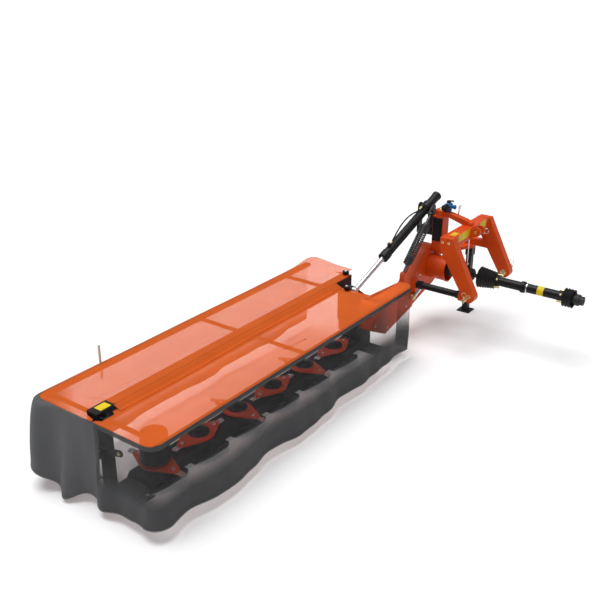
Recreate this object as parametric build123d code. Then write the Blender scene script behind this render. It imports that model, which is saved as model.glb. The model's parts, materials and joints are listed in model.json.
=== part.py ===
from build123d import *
import math
import os

# A mounted disc mower: headstock, swinging belt arm, folding mower unit with six discs, hinged
# front guard, lift cylinder and drive shaft. Millimetres. In the layout frame x = 0 is the
# outermost disc, +x points to the headstock, -y is the direction of travel and z = 0 the ground.

# Running gap at pins and shafts, and the gap between pieces that move past each other
PIN_GAP = 0.3
MOVING_GAP = 5

# Cutterbar and skids
DISC_COUNT = 6
DISC_PITCH = 400
SKID_T = 12
SKID_W = 330
SKID_REACH = 190
SKID_NOSE = 10
SKID_LIP = 45
BAR_DEPTH = 220
BAR_H = 75
BAR_WALL = 9
BAR_BEVEL = 24
LOBE_R = 130
BAR_X0 = -150
HUB_R = 62
HUB_H = 14

# Discs, caps, knives and the outer swath drum
BOSS_R = 52
BOSS_H = 7
DISC_R = 106
DISC_TIP_R = 40
DISC_TIP_AT = 150
DISC_T = 7
DISC_RISE = 13
CAP_R = 74
CAP_H = 24
CAP_DOME_R = 190
KNIFE_W = 46
KNIFE_T = 4
KNIFE_IN = 125
KNIFE_OUT = 245
KNIFE_BEVEL = 10
DRUM_R = 100
DRUM_TOP_R = 88
DRUM_H = 190
DRUM_FLANGE = 12

# Gearbox, carrier and fold pivot
GEAR_FROM_DISC = 262
GEAR_X0 = DISC_PITCH * (DISC_COUNT - 1) + GEAR_FROM_DISC
GEAR_L = 163
GEAR_DEPTH = 190
GEAR_TOP = 250
GEAR_SHELF_Z = 170
GEAR_SHELF = 47
GEAR_ROUND = 18
PIVOT_FROM_GEAR = 98
PIVOT_X = GEAR_X0 + PIVOT_FROM_GEAR
PIVOT_Z = 400
PIVOT_PIN_R = 40
PIVOT_TUBE_R = 62
PIVOT_TUBE_Y1 = 95
PEDESTAL_W = 120
UPRIGHT_W = 66
LEVER_REACH = 183
LEVER_PIN_X = PIVOT_X - LEVER_REACH
LEVER_PIN_Z = 568
LEVER_Y = -48
LEVER_T = 20
LEVER_EYE_R = 34
LEVER_STEP = 5

# Inner and outer shoes
SHOE_W = 160
SHOE_FRONT = 385
SHOE_KNEE = 238
SHOE_STEP = 2
SHOE_RISE = 105
OUTER_SHOE_L = 195
OUTER_SHOE_H = 28
OUTER_SHOE_DEPTH = 200
SOLE_SHORT = 49
POST_W = 60

# Main beam and the guard frame on it
BEAM_SIZE = 88
BEAM_WALL = 6
BEAM_Y = 70
BEAM_TOP = 640
BEAM_X0 = -400
BEAM_BARE = 130
BEAM_PAST_GEAR = 28
BEAM_X1 = GEAR_X0 + BEAM_PAST_GEAR
CANOPY_X0 = -450
CANOPY_PAST_GEAR = 178
CANOPY_X1 = GEAR_X0 + CANOPY_PAST_GEAR
CANOPY_Y0 = -470
CANOPY_Y1 = 530
CANOPY_Z = 620
CLOTH_T = 4
HUMP_RUN = 40
CORNER_R = 70
NOTCH_L = 380
NOTCH_X = CANOPY_X1 - NOTCH_L
NOTCH_Y = -330
HEM_Z = 40
REAR_HEM_Z = 60
RAIL_R = 17
RAIL_GAP = 1
RIB_R = 14
RIB_INSET = 40
RIB_FROM_NOTCH = 30
RIB_X = (BEAM_X0 + RIB_INSET, DISC_PITCH * (DISC_COUNT - 1) / 2, NOTCH_X - RIB_FROM_NOTCH)
HINGE_Y = -5
HINGE_PIN_R = 6
HINGE_EYE_R = 14
HINGE_EYE_W = 30
HINGE_LUG_T = 10
HINGE_CLEAR = 8
SKIRT_SPLIT_FRONT = 8
SKIRT_SPLIT_REAR = 20
STICK_X = 80
STICK_R = 8
STICK_TOP = 745
STICK_L = 240

# Drop bracket at the beam's outer end, with its stay plate and bent-rod loop
DROP_T = 12
DROP_W = 60
DROP_LOW = 330
STAY_T = 8
STAY_R = 22
STAY_REAR = (40, 400)
STAY_FRONT = (-150, 445)
LOOP_R = 7
LOOP_BEND = 35
LOOP_SINK = 3
LOOP_ROUTE = ((56, 510), (105, 190), (-55, 225), (-40, 415))

# Belt arm with its input guard
ARM_Y0 = -250
ARM_Y1 = -130
ARM_WALL = 5
ARM_ROUND = 30
ARM_CORNERS = ((-190, 500), (430, 452), (490, 250), (30, 150), (-175, 250))
ARM_MID = (440, 348, 92)
ARM_HIGH_R = 185
PTO_FROM_PIVOT = 770
PTO_X = PIVOT_X + PTO_FROM_PIVOT
PTO_Z = 530
GUARD_R = 104
GUARD_WALL = 5
GUARD_L = 180
GUARD_LIP = 5
GUARD_LIP_L = 12
CATCH_W = 60
CATCH_T = 40
CATCH_Z0 = 400
CATCH_Z1 = 510

# King post, its pin and the cylinder's trunnion
KING_FROM_PTO = 40
KING_X = PTO_X + KING_FROM_PTO
KING_Y = -298
KING_W = 110
KING_D = 95.4
KING_Z0 = 672
KING_Z1 = 985
KING_PIN_R = 25
COLLAR_FROM_KING = 3
COLLAR_X = KING_X - COLLAR_FROM_KING
COLLAR_Y = -160
COLLAR_Z = 1029
TRUNNION_R = 16
TRUNNION_EAR_T = 14
TRUNNION_EAR_R = 34
TRUNNION_DROP = 150
BARREL_R = 38
BARREL_WALL = 6
BARREL_BACK = 170
BARREL_FRONT = 690
BARREL_CAP = 12
GLAND_L = 36
COLLAR_R = 50
COLLAR_L = 60
ROD_R = 20
ROD_EYE_R = 30
ROD_EYE_W = 30
ROD_PIN_R = 14
ROD_PIN_HEAD = 8
ROD_PIN_GAP = 5
ROD_EYE_Y = -80
ROD_TAIL = 60
ROD_INSIDE = 274
PISTON_L = 36

# The cylinder's hose between two ports: the route's places along the barrel and above its axis
PORT_SIZE = 24
PORT_PLACES = (60, 575)
HOSE_R = 6
HOSE_ABOVE = 54
HOSE_ROUTE = (
    (PORT_PLACES[0] + PORT_SIZE / 2, HOSE_ABOVE), (125, HOSE_ABOVE), (190, 84), (280, 108),
    (375, 106), (460, 82), (522, HOSE_ABOVE), (PORT_PLACES[1] - PORT_SIZE / 2, HOSE_ABOVE))
BEND_SHARE = 0.45

# Balance spring between the post and the arm
SPRING_R = 34
SPRING_WIRE = 9
SPRING_COIL = 396
SPRING_COIL_AT = 104
SPRING_TUBE_R = 15
SPRING_TUBE_AT = 48
SPRING_ROD_R = 8
SPRING_EYE_R = 17
SPRING_PEG_R = 7
SPRING_Y = COLLAR_Y - COLLAR_R - MOVING_GAP - TRUNNION_EAR_T - SPRING_ROD_R - PIN_GAP
SPRING_FROM_PTO = 30
SPRING_TOP_Z = 995
SPRING_TOP = (PTO_X - SPRING_FROM_PTO, SPRING_Y, SPRING_TOP_Z)
SPRING_FROM_PIVOT = 295
SPRING_FOOT_Z = 590
SPRING_FOOT = (PIVOT_X + SPRING_FROM_PIVOT, SPRING_Y, SPRING_FOOT_Z)
LUG_W = 46

# Headstock
LEG_SPAN = 690
LEG_W = 70
LEG_FOOT_R = 52
LEG_FOOT_Y = 41.6
LEG_FOOT_Z = 31.2
LEG_TOP_STEP = 8
LOWER_PIN_Y = -795
LOWER_PIN_Z = 493
LOWER_PIN_R = 14.2
LOWER_SHANK_R = 18
LOWER_NUT_R = 26
LOWER_NUT_T = 20
LOWER_PIN_OUT = 95
LOWER_PIN_IN = 30
CROSS_Y0 = -612
CROSS_DEPTH = 100
CROSS_Z0 = 850
CROSS_H = 95
CROSS_WALL = 8
EAR_T = 20
EAR_GAP = 52
EAR_R = 38
EAR_FOOT = 10
TOP_PIN_R = 12.7
TOP_PIN_Y = -668
TOP_PIN_Z = 925
TOP_PIN_L = 130
TOP_PIN_PAST = 12
RING_R = 22
RING_WIRE = 4
SIDE_W = 60
SIDE_H = 60
SIDE_Z0 = KING_Z0
SIDE_Y1 = -385
PLATE_T = 28
PLATE_TIP_R = 40
PLATE_BACK = 25
BRACE_W = 60
BRACE_T = 44
BRACE_INSET = 20
BRACE_REACH = 38
BEARING_R = 48
BEARING_H = 45
LATCH_R = 28
LATCH_LUG = 4
LATCH_LUG_IN = 40
LATCH_LUG_AT = 30
LATCH_TIP_R = 14
LATCH_TIP_L = 60
LATCH_Z = 462
LATCH_Y0 = -690
HOOK_R = 5
HOOK_BOTTOM = 606
HOOK_Y = -590
HOOK_TOE = 30

# Parking stand
STAND_Y = -425
STAND_SIZE = 50
STAND_WALL = 4
STAND_GAP = 0.5
STAND_TOP = 770
SLEEVE_WALL = 7
SLEEVE_Z0 = 545
FOOT_SIZE = 120
FOOT_T = 8

# Drive shaft
STUB_R = 17.5
STUB_INSERT = 20
HUB_Y0 = -400
CLUTCH_R = 42
CLUTCH_L = 260
CLUTCH_RIM_R = 54
CLUTCH_RIM_L = 30
CLUTCH_RIM_AT = (40, 130, 220)
JOINT_Y = -735
JOINT_NECK_R = 17
BALL_R = 24
SHAFT_R = 25
SOCKET_LIP = 2
SOCKET_WALL = 6
SOCKET_FLOOR = 12
BELL_Y0 = -720
BELL_L = 150
BELL_R = 90
BELL_END_R = 72
BELL_NECK_R = 44
BELL_FACE = 16
BELL_WALL = 4
BELL_RIBS = 6
BELL_GROOVE = 8
NECK_L = 20
BUSH_AT = 5
BUSH_L = 30
SLEEVE_R = 38
RING_Y = -1100
RING_L = 28
RING_STEP = 10
TUBE_END_Y = -1430
FRONT_BELL_R = 76
FRONT_BELL_L = 90
FRONT_BELL_RIBS = 3
YOKE_R = 36
YOKE_L = 80
YOKE_BORE_L = 60
YOKE_NECK_R = 29
YOKE_COLLAR_R = 46
YOKE_COLLAR_L = 28
YOKE_COLLAR_AT = 20

# Derived places
BAR_TOP = SKID_T + BAR_H
HUB_TOP = BAR_TOP + HUB_H
DISC_Z = HUB_TOP + PIN_GAP
PLATE_Z = DISC_Z + BOSS_H
CAP_Z = PLATE_Z + DISC_T + DISC_RISE
BEAM_LOW = BEAM_TOP - BEAM_SIZE
BEAM_FRONT = BEAM_Y - BEAM_SIZE / 2
BEAM_REAR = BEAM_Y + BEAM_SIZE / 2
CLOTH_LOW = CANOPY_Z - CLOTH_T
HUMP_LOW = BEAM_TOP + PIN_GAP
RAIL_Z = CLOTH_LOW - RAIL_R - PIN_GAP
RIB_Z = CLOTH_LOW - RIB_R - PIN_GAP
FRONT_RAIL_Y = CANOPY_Y0 + CLOTH_T + RAIL_R + RAIL_GAP
REAR_RAIL_Y = CANOPY_Y1 - CLOTH_T - RAIL_R - RAIL_GAP
RAIL_X0 = CANOPY_X0 + CORNER_R
RAIL_X1 = CANOPY_X1 - CORNER_R
STICK_Y = CANOPY_Y1 + STICK_R + PIN_GAP
LEG_NEAR = PTO_X - LEG_SPAN / 2
LEG_FAR = PTO_X + LEG_SPAN / 2
CROSS_TOP = CROSS_Z0 + CROSS_H
CROSS_Y1 = CROSS_Y0 + CROSS_DEPTH
PIN_X1 = LEG_FAR + LEG_W / 2 + LOWER_PIN_OUT
FRONT_BELL_Y = TUBE_END_Y - FRONT_BELL_L
YOKE_Y0 = FRONT_BELL_Y - YOKE_L
CENTRE_X = (CANOPY_X0 + PIN_X1) / 2
CENTRE_Y = (YOKE_Y0 + STICK_Y + STICK_R) / 2
COLLAR_POINT = Vector(COLLAR_X, COLLAR_Y, COLLAR_Z)
ROD_POINT = Vector(LEVER_PIN_X, ROD_EYE_Y, LEVER_PIN_Z)
CYLINDER_DIR = (ROD_POINT - COLLAR_POINT).normalized()
CYLINDER_L = (ROD_POINT - COLLAR_POINT).length
CYLINDER_UP = CYLINDER_DIR.cross(Vector(0, -1, 0)).normalized()


def block(x0, x1, y0, y1, z0, z1):
    """A box between two corners."""
    middle = Pos((x0 + x1) / 2, (y0 + y1) / 2, (z0 + z1) / 2)
    return middle * Box(x1 - x0, y1 - y0, z1 - z0)


def rod(start, end, radius):
    """A round bar between two points."""
    start = Vector(*start)
    along = Vector(*end) - start
    return extrude(Plane(origin=start, z_dir=along) * Circle(radius), amount=along.length)


def pipe(start, end, radius, wall):
    """A round tube between two points."""
    return rod(start, end, radius) - rod(start, end, radius - wall)


def side_slab(sketch, y0, y1):
    """A sketch drawn in x and z, made solid from y0 to y1."""
    return extrude(Plane(origin=(0, y1, 0), x_dir=(1, 0, 0), z_dir=(0, -1, 0)) * sketch, amount=y1 - y0)


def end_slab(sketch, x0, x1):
    """A sketch drawn in y and z, made solid from x0 to x1."""
    return extrude(Plane(origin=(x0, 0, 0), x_dir=(0, 1, 0), z_dir=(1, 0, 0)) * sketch, amount=x1 - x0)


def hull_of(*circles):
    """The outline round several circles, each given as (x, y, radius)."""
    edges = []
    for x, y, radius in circles:
        edges += (Pos(x, y) * Circle(radius)).edges()
    return make_hull(edges)


def polygon(*points):
    """A face through the points, wound so that it is made solid towards the drawing's normal."""
    pairs = zip(points, points[1:] + points[:1])
    area = sum(x0 * y1 - x1 * y0 for (x0, y0), (x1, y1) in pairs)
    return Polygon(*(points if area > 0 else points[::-1]), align=None)


def disc_x(index):
    return index * DISC_PITCH


def cutterbar():
    """The hollow bar, round-lobed below each disc, with a bearing housing on each lobe."""
    half = BAR_DEPTH / 2
    outline = polygon(
        (-half + BAR_BEVEL, SKID_T), (half - BAR_BEVEL, SKID_T), (half, SKID_T + BAR_BEVEL),
        (half - BAR_BEVEL, BAR_TOP), (-half + BAR_BEVEL, BAR_TOP), (-half, SKID_T + BAR_BEVEL))
    bar = end_slab(outline, BAR_X0, GEAR_X0)
    edge = SKID_T + BAR_BEVEL
    upper = BAR_TOP - edge
    for index in range(DISC_COUNT):
        low = Cone(LOBE_R - BAR_BEVEL, LOBE_R, BAR_BEVEL)
        bar += Pos(disc_x(index), 0, SKID_T + BAR_BEVEL / 2) * low
        bar += Pos(disc_x(index), 0, edge + upper / 2) * Cone(LOBE_R, LOBE_R - BAR_BEVEL, upper)
    bar -= end_slab(offset(outline, -BAR_WALL), BAR_X0 + BAR_WALL, GEAR_X0 - BAR_WALL)
    for index in range(DISC_COUNT):
        bar += Pos(disc_x(index), 0, BAR_TOP + HUB_H / 2) * Cylinder(HUB_R, HUB_H)
    return bar


def skids():
    """One round-nosed skid below each disc, its front edge turned up."""
    half = BAR_DEPTH / 2
    profile = polygon(
        (half, 0), (-half, 0), (-SKID_REACH, SKID_LIP), (-SKID_REACH, SKID_LIP + SKID_T),
        (-half, SKID_T), (half, SKID_T))
    solid = end_slab(profile, -SKID_W / 2, SKID_W / 2)
    nose_r = SKID_REACH + SKID_NOSE
    solid &= Pos(0, 0, nose_r / 2) * Cylinder(nose_r, nose_r)
    return Compound([Pos(disc_x(index), 0, 0) * solid.solid() for index in range(DISC_COUNT)])


def disc_turn(index):
    """Neighbouring discs stand a quarter turn apart."""
    return 90 * ((index + 1) % 2)


def disc_place(index):
    return Pos(disc_x(index), 0, 0) * Rot(0, 0, disc_turn(index))


def disc(index):
    """The oval disc with its boss and raised middle."""
    outline = hull_of((0, 0, DISC_R), (DISC_TIP_AT, 0, DISC_TIP_R), (-DISC_TIP_AT, 0, DISC_TIP_R))
    plate = Pos(0, 0, PLATE_Z) * extrude(outline, amount=DISC_T)
    boss = Pos(0, 0, DISC_Z + BOSS_H / 2) * Cylinder(BOSS_R, BOSS_H)
    rise = Pos(0, 0, CAP_Z - DISC_RISE / 2) * Cone(DISC_R - DISC_RISE, CAP_R, DISC_RISE)
    return disc_place(index) * (plate + boss + rise)


def cap(index):
    """The domed cap over the disc's nut."""
    bar = Pos(0, 0, CAP_H / 2) * Cylinder(CAP_R, CAP_H)
    dome = Pos(0, 0, CAP_H - CAP_DOME_R) * Sphere(CAP_DOME_R)
    return Pos(disc_x(index), 0, CAP_Z) * (bar & dome)


def knives(index):
    """Two knives below the disc's tips."""
    length = KNIFE_OUT - KNIFE_IN
    blade = Pos(KNIFE_IN + length / 2, 0, PLATE_Z - KNIFE_T / 2) * Box(length, KNIFE_W, KNIFE_T)
    tips = blade.edges().filter_by(Axis.Z).group_by(Axis.X)[-1]
    blade = chamfer(tips, KNIFE_BEVEL)
    return disc_place(index) * Compound([blade.solid(), (Rot(0, 0, 180) * blade).solid()])


def outer_drum():
    """The swath drum on the outermost disc."""
    base = Pos(0, 0, CAP_Z + DRUM_FLANGE / 2) * Cylinder(CAP_R, DRUM_FLANGE)
    body = Pos(0, 0, CAP_Z + DRUM_FLANGE + DRUM_H / 2) * Cone(DRUM_R, DRUM_TOP_R, DRUM_H)
    return base + body


def gearbox():
    """The bevel gearbox at the inner end of the bar, with a shelf above the last disc."""
    half = GEAR_DEPTH / 2
    low = block(GEAR_X0, GEAR_X0 + GEAR_L, -half, half, SKID_T, GEAR_SHELF_Z)
    high = block(GEAR_X0 - GEAR_SHELF, GEAR_X0 + GEAR_L, -half, half, GEAR_SHELF_Z, GEAR_TOP)
    body = low + high
    ends = body.edges().filter_by(Axis.Z).group_by(Axis.X)[-1]
    return fillet(ends, GEAR_ROUND)


def carrier():
    """The fold pivot's tube on its pedestal, with the lift lever and the beam's upright."""
    half = GEAR_DEPTH / 2
    tube_y0 = ARM_Y1 + MOVING_GAP
    tube = rod((PIVOT_X, tube_y0, PIVOT_Z), (PIVOT_X, PIVOT_TUBE_Y1, PIVOT_Z), PIVOT_TUBE_R)
    seat = block(PIVOT_X - PEDESTAL_W / 2, PIVOT_X + PEDESTAL_W / 2, -half, half, GEAR_TOP, PIVOT_Z)
    lever = side_slab(
        hull_of((PIVOT_X, PIVOT_Z, PIVOT_TUBE_R - LEVER_STEP), (LEVER_PIN_X, LEVER_PIN_Z, LEVER_EYE_R)),
        LEVER_Y - LEVER_T / 2, LEVER_Y + LEVER_T / 2)
    upright = block(BEAM_X1 - UPRIGHT_W, BEAM_X1, BEAM_FRONT, BEAM_REAR, GEAR_TOP, BEAM_LOW)
    web = block(BEAM_X1, PIVOT_X, BEAM_Y - LEVER_T, BEAM_Y, GEAR_TOP, PIVOT_Z)
    bore = rod((PIVOT_X, tube_y0, PIVOT_Z), (PIVOT_X, PIVOT_TUBE_Y1, PIVOT_Z), PIVOT_PIN_R + PIN_GAP)
    return tube + seat + lever + upright + web - bore


def inner_shoe():
    """The long shoe under the gearbox, turned up at the front."""
    rear = GEAR_DEPTH / 2
    profile = polygon(
        (rear, 0), (-SHOE_KNEE, 0), (-SHOE_FRONT, SHOE_RISE), (-SHOE_FRONT, SHOE_RISE + SKID_T),
        (-SHOE_KNEE, SKID_T), (rear, SKID_T))
    return end_slab(profile, GEAR_X0 + SHOE_STEP, GEAR_X0 + SHOE_STEP + SHOE_W)


def outer_shoe():
    """The shoe at the outer end of the bar, with a sole on the ground."""
    half = OUTER_SHOE_DEPTH / 2
    x0 = BAR_X0 - OUTER_SHOE_L
    body = block(x0, BAR_X0, -half, half, SKID_T, SKID_T + OUTER_SHOE_H)
    sole = end_slab(polygon(
        (half, 0), (-half, 0), (-SKID_REACH, SKID_LIP), (-SKID_REACH, SKID_LIP + SKID_T),
        (-half, SKID_T), (half, SKID_T)), x0, BAR_X0 - SOLE_SHORT)
    return body + sole


def outer_post():
    """The post that carries the main beam's outer end."""
    x0 = BAR_X0 - OUTER_SHOE_L
    half = POST_W / 2
    return block(x0, x0 + POST_W, BEAM_Y - half, BEAM_Y + half, SKID_T + OUTER_SHOE_H, BEAM_LOW)


def outer_bracket():
    """The plate that drops from the beam's outer end, with its stay and a bent-rod loop."""
    face = BEAM_X0
    bracket = block(face, face + DROP_T, BEAM_FRONT, BEAM_FRONT + DROP_W, DROP_LOW, BEAM_LOW)
    bracket += end_slab(hull_of((*STAY_REAR, STAY_R), (*STAY_FRONT, STAY_R)), face - STAY_T, face)
    x = face - LOOP_R + LOOP_SINK
    line = FilletPolyline(*[(x, y, z) for y, z in LOOP_ROUTE], radius=LOOP_BEND)
    return bracket + sweep(Plane(origin=line @ 0, z_dir=line % 0) * Circle(LOOP_R), path=line)


def main_beam():
    """The square tube along the machine, with the front guard's hinge lugs and pins."""
    beam = block(BEAM_X0, BEAM_X1, BEAM_FRONT, BEAM_REAR, BEAM_LOW, BEAM_TOP)
    beam -= block(
        BEAM_X0 + BEAM_WALL, BEAM_X1 - BEAM_WALL, BEAM_FRONT + BEAM_WALL, BEAM_REAR - BEAM_WALL,
        BEAM_LOW + BEAM_WALL, BEAM_TOP - BEAM_WALL)
    for x in RIB_X:
        reach = HINGE_EYE_W / 2 + PIN_GAP
        for side in (-1, 1):
            inner = x + side * reach
            outer = inner + side * HINGE_LUG_T
            lug = rod((inner, HINGE_Y, RIB_Z), (outer, HINGE_Y, RIB_Z), HINGE_EYE_R)
            lug += block(min(inner, outer), max(inner, outer), HINGE_Y, BEAM_FRONT,
                         RIB_Z - HINGE_EYE_R, RIB_Z + HINGE_EYE_R)
            beam += lug
        beam += rod((x - reach, HINGE_Y, RIB_Z), (x + reach, HINGE_Y, RIB_Z), HINGE_PIN_R)
    return beam


def rear_rail():
    return rod((RAIL_X0, REAR_RAIL_Y, RAIL_Z), (RAIL_X1, REAR_RAIL_Y, RAIL_Z), RAIL_R)


def rear_ribs():
    ribs = []
    for x in RIB_X:
        rib = rod((x, BEAM_REAR, RIB_Z), (x, REAR_RAIL_Y, RIB_Z), RIB_R) - rear_rail()
        ribs.append(rib.solid())
    return Compound(ribs)


def front_frame():
    """The front rail and its ribs, hinged on the main beam."""
    frame = rod((RAIL_X0, FRONT_RAIL_Y, RAIL_Z), (RAIL_X1, FRONT_RAIL_Y, RAIL_Z), RAIL_R)
    for x in RIB_X:
        half = HINGE_EYE_W / 2
        frame += rod((x, FRONT_RAIL_Y, RIB_Z), (x, HINGE_Y, RIB_Z), RIB_R)
        frame += rod((x - half, HINGE_Y, RIB_Z), (x + half, HINGE_Y, RIB_Z), HINGE_EYE_R)
        frame -= rod((x - half, HINGE_Y, RIB_Z), (x + half, HINGE_Y, RIB_Z), HINGE_PIN_R + PIN_GAP)
    return frame


def guard_outline(inset):
    """The guard's plan with rounded corners, drawn inside its edge by an inset."""
    width = CANOPY_X1 - CANOPY_X0 - 2 * inset
    depth = CANOPY_Y1 - CANOPY_Y0 - 2 * inset
    middle = Pos((CANOPY_X0 + CANOPY_X1) / 2, (CANOPY_Y0 + CANOPY_Y1) / 2)
    return middle * RectangleRounded(width, depth, CORNER_R - inset)


def canopy_rear():
    """The rear sheet, which climbs over the main beam and leaves the beam's outer end bare."""
    hump_top = HUMP_LOW + CLOTH_T
    ridge = BEAM_REAR + CLOTH_T
    profile = polygon(
        (BEAM_FRONT, HUMP_LOW), (ridge, HUMP_LOW), (ridge + HUMP_RUN, CLOTH_LOW), (CANOPY_Y1, CLOTH_LOW),
        (CANOPY_Y1, CANOPY_Z), (ridge + HUMP_RUN, CANOPY_Z), (ridge, hump_top), (BEAM_FRONT, hump_top))
    sheet = end_slab(profile, CANOPY_X0, CANOPY_X1)
    sheet &= Pos(0, 0, CLOTH_LOW) * extrude(guard_outline(0), amount=hump_top - CLOTH_LOW)
    for x0, x1 in ((CANOPY_X0, BEAM_X0 + BEAM_BARE), (BEAM_X1, CANOPY_X1)):
        sheet -= block(x0, x1, BEAM_FRONT, BEAM_REAR + PIN_GAP, CLOTH_LOW, hump_top)
    return sheet


def canopy_front():
    """The front sheet, cut back at its inner end where the arm and the lift rod pass."""
    sheet = Pos(0, 0, CLOTH_LOW) * extrude(guard_outline(0), amount=CLOTH_T)
    sheet &= block(CANOPY_X0, CANOPY_X1, CANOPY_Y0, HINGE_Y + 2 * HINGE_PIN_R, CLOTH_LOW, CANOPY_Z)
    sheet -= block(NOTCH_X, CANOPY_X1, NOTCH_Y, BEAM_FRONT, CLOTH_LOW, CANOPY_Z)
    half = HINGE_EYE_W / 2 + PIN_GAP + HINGE_LUG_T + MOVING_GAP
    for x in RIB_X:
        reach = HINGE_Y - HINGE_EYE_R - HINGE_CLEAR
        sheet -= block(x - half, x + half, reach, BEAM_FRONT, CLOTH_LOW, CANOPY_Z)
    return sheet


def skirt(hem):
    wall = guard_outline(0) - guard_outline(CLOTH_T)
    return Pos(0, 0, hem) * extrude(wall, amount=CLOTH_LOW - hem)


def skirt_front():
    """The front skirt with its returns round both front corners."""
    keep = block(CANOPY_X0, NOTCH_X, CANOPY_Y0, SKIRT_SPLIT_FRONT, HEM_Z, CLOTH_LOW)
    keep += block(NOTCH_X, CANOPY_X1, CANOPY_Y0, NOTCH_Y, HEM_Z, CLOTH_LOW)
    return skirt(HEM_Z) & keep


def skirt_rear():
    """The rear skirt with its return at the outer end."""
    keep = block(CANOPY_X0, NOTCH_X, SKIRT_SPLIT_REAR, CANOPY_Y1, REAR_HEM_Z, CLOTH_LOW)
    keep += block(NOTCH_X, CANOPY_X1 - CORNER_R, CANOPY_Y1 - CORNER_R, CANOPY_Y1, REAR_HEM_Z, CLOTH_LOW)
    return skirt(REAR_HEM_Z) & keep


def swath_stick():
    return rod((STICK_X, STICK_Y, STICK_TOP - STICK_L), (STICK_X, STICK_Y, STICK_TOP), STICK_R)


def arm_outline():
    """The bent housing's side view: a boxy lower run and an upper run that climbs to the input."""
    lower = polygon(*[(PIVOT_X + x, z) for x, z in ARM_CORNERS])
    lower = fillet(lower.vertices(), ARM_ROUND)
    mid_x, mid_z, mid_r = ARM_MID
    return lower + hull_of((PIVOT_X + mid_x, mid_z, mid_r), (PTO_X, PTO_Z, ARM_HIGH_R))


def belt_arm():
    """The bent belt housing, hollow, with the fold pin behind it and the breakaway catch before it."""
    outline = arm_outline()
    arm = side_slab(outline, ARM_Y0, ARM_Y1)
    arm -= side_slab(offset(outline, -ARM_WALL), ARM_Y0 + ARM_WALL, ARM_Y1 - ARM_WALL)
    arm += rod((PIVOT_X, ARM_Y1, PIVOT_Z), (PIVOT_X, PIVOT_TUBE_Y1, PIVOT_Z), PIVOT_PIN_R)
    catch_x = LEG_NEAR + LEG_W / 2
    arm += block(catch_x - CATCH_W / 2, catch_x + CATCH_W / 2, ARM_Y0 - CATCH_T, ARM_Y0 + ARM_WALL,
                 CATCH_Z0, CATCH_Z1)
    return arm


def spring_lug():
    """The post on the arm's top that takes the spring's lower hook."""
    x, y, z = SPRING_FOOT
    low = ARM_MID[1]
    lug = block(x - LUG_W / 2, x + LUG_W / 2, y - LUG_W / 4, y + LUG_W / 4, low, z)
    lug += rod((x, y - LUG_W / 4, z), (x, y + LUG_W / 4, z), LUG_W / 2)
    return lug - side_slab(arm_outline(), ARM_Y0, ARM_Y1)


def input_guard():
    """The shield round the input stub, with a rolled lip."""
    front = ARM_Y0 - GUARD_L
    shield = pipe((PTO_X, front, PTO_Z), (PTO_X, ARM_Y0, PTO_Z), GUARD_R, GUARD_WALL)
    lip_r = GUARD_R + GUARD_LIP
    return shield + pipe((PTO_X, front, PTO_Z), (PTO_X, front + GUARD_LIP_L, PTO_Z), lip_r, 2 * GUARD_LIP)


def king_post():
    """The post bolted to the arm's upper end, turning on a pin above and below."""
    half = KING_W / 2
    back = ARM_Y0
    post = block(KING_X - half, KING_X + half, back - KING_D, back, KING_Z0 + PIN_GAP, KING_Z1)
    pin_top = KING_Z1 + PIN_GAP + BEARING_H
    return post + rod((KING_X, KING_Y, KING_Z0 - PLATE_T), (KING_X, KING_Y, pin_top), KING_PIN_R)


def trunnion_bracket():
    """The ears that carry the cylinder's trunnion behind the post, the front one with the spring's peg."""
    low = KING_Z1 - TRUNNION_DROP
    spring_x, spring_y, spring_z = SPRING_TOP
    foot = (COLLAR_X, low, TRUNNION_EAR_R)
    head = (COLLAR_X, COLLAR_Z, TRUNNION_EAR_R)
    far = COLLAR_Y + COLLAR_R + MOVING_GAP
    near = COLLAR_Y - COLLAR_R - MOVING_GAP
    bracket = side_slab(hull_of(foot, head), far, far + TRUNNION_EAR_T)
    peg = (spring_x, spring_z, SPRING_EYE_R)
    bracket += side_slab(hull_of(foot, head, peg), near - TRUNNION_EAR_T, near)
    bracket += block(COLLAR_X - TRUNNION_EAR_R, COLLAR_X + TRUNNION_EAR_R, ARM_Y0, far + TRUNNION_EAR_T,
                     low - TRUNNION_EAR_R, low)
    bracket -= rod((COLLAR_X, near - TRUNNION_EAR_T, COLLAR_Z), (COLLAR_X, far + TRUNNION_EAR_T, COLLAR_Z),
                   TRUNNION_R + PIN_GAP)
    peg_end = spring_y - SPRING_ROD_R - MOVING_GAP
    return bracket + rod((spring_x, near, spring_z), (spring_x, peg_end, spring_z), SPRING_PEG_R)


def by_barrel(along, above):
    """A place by the barrel: along it from the collar and above its axis."""
    return COLLAR_POINT + CYLINDER_DIR * along + CYLINDER_UP * above


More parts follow.
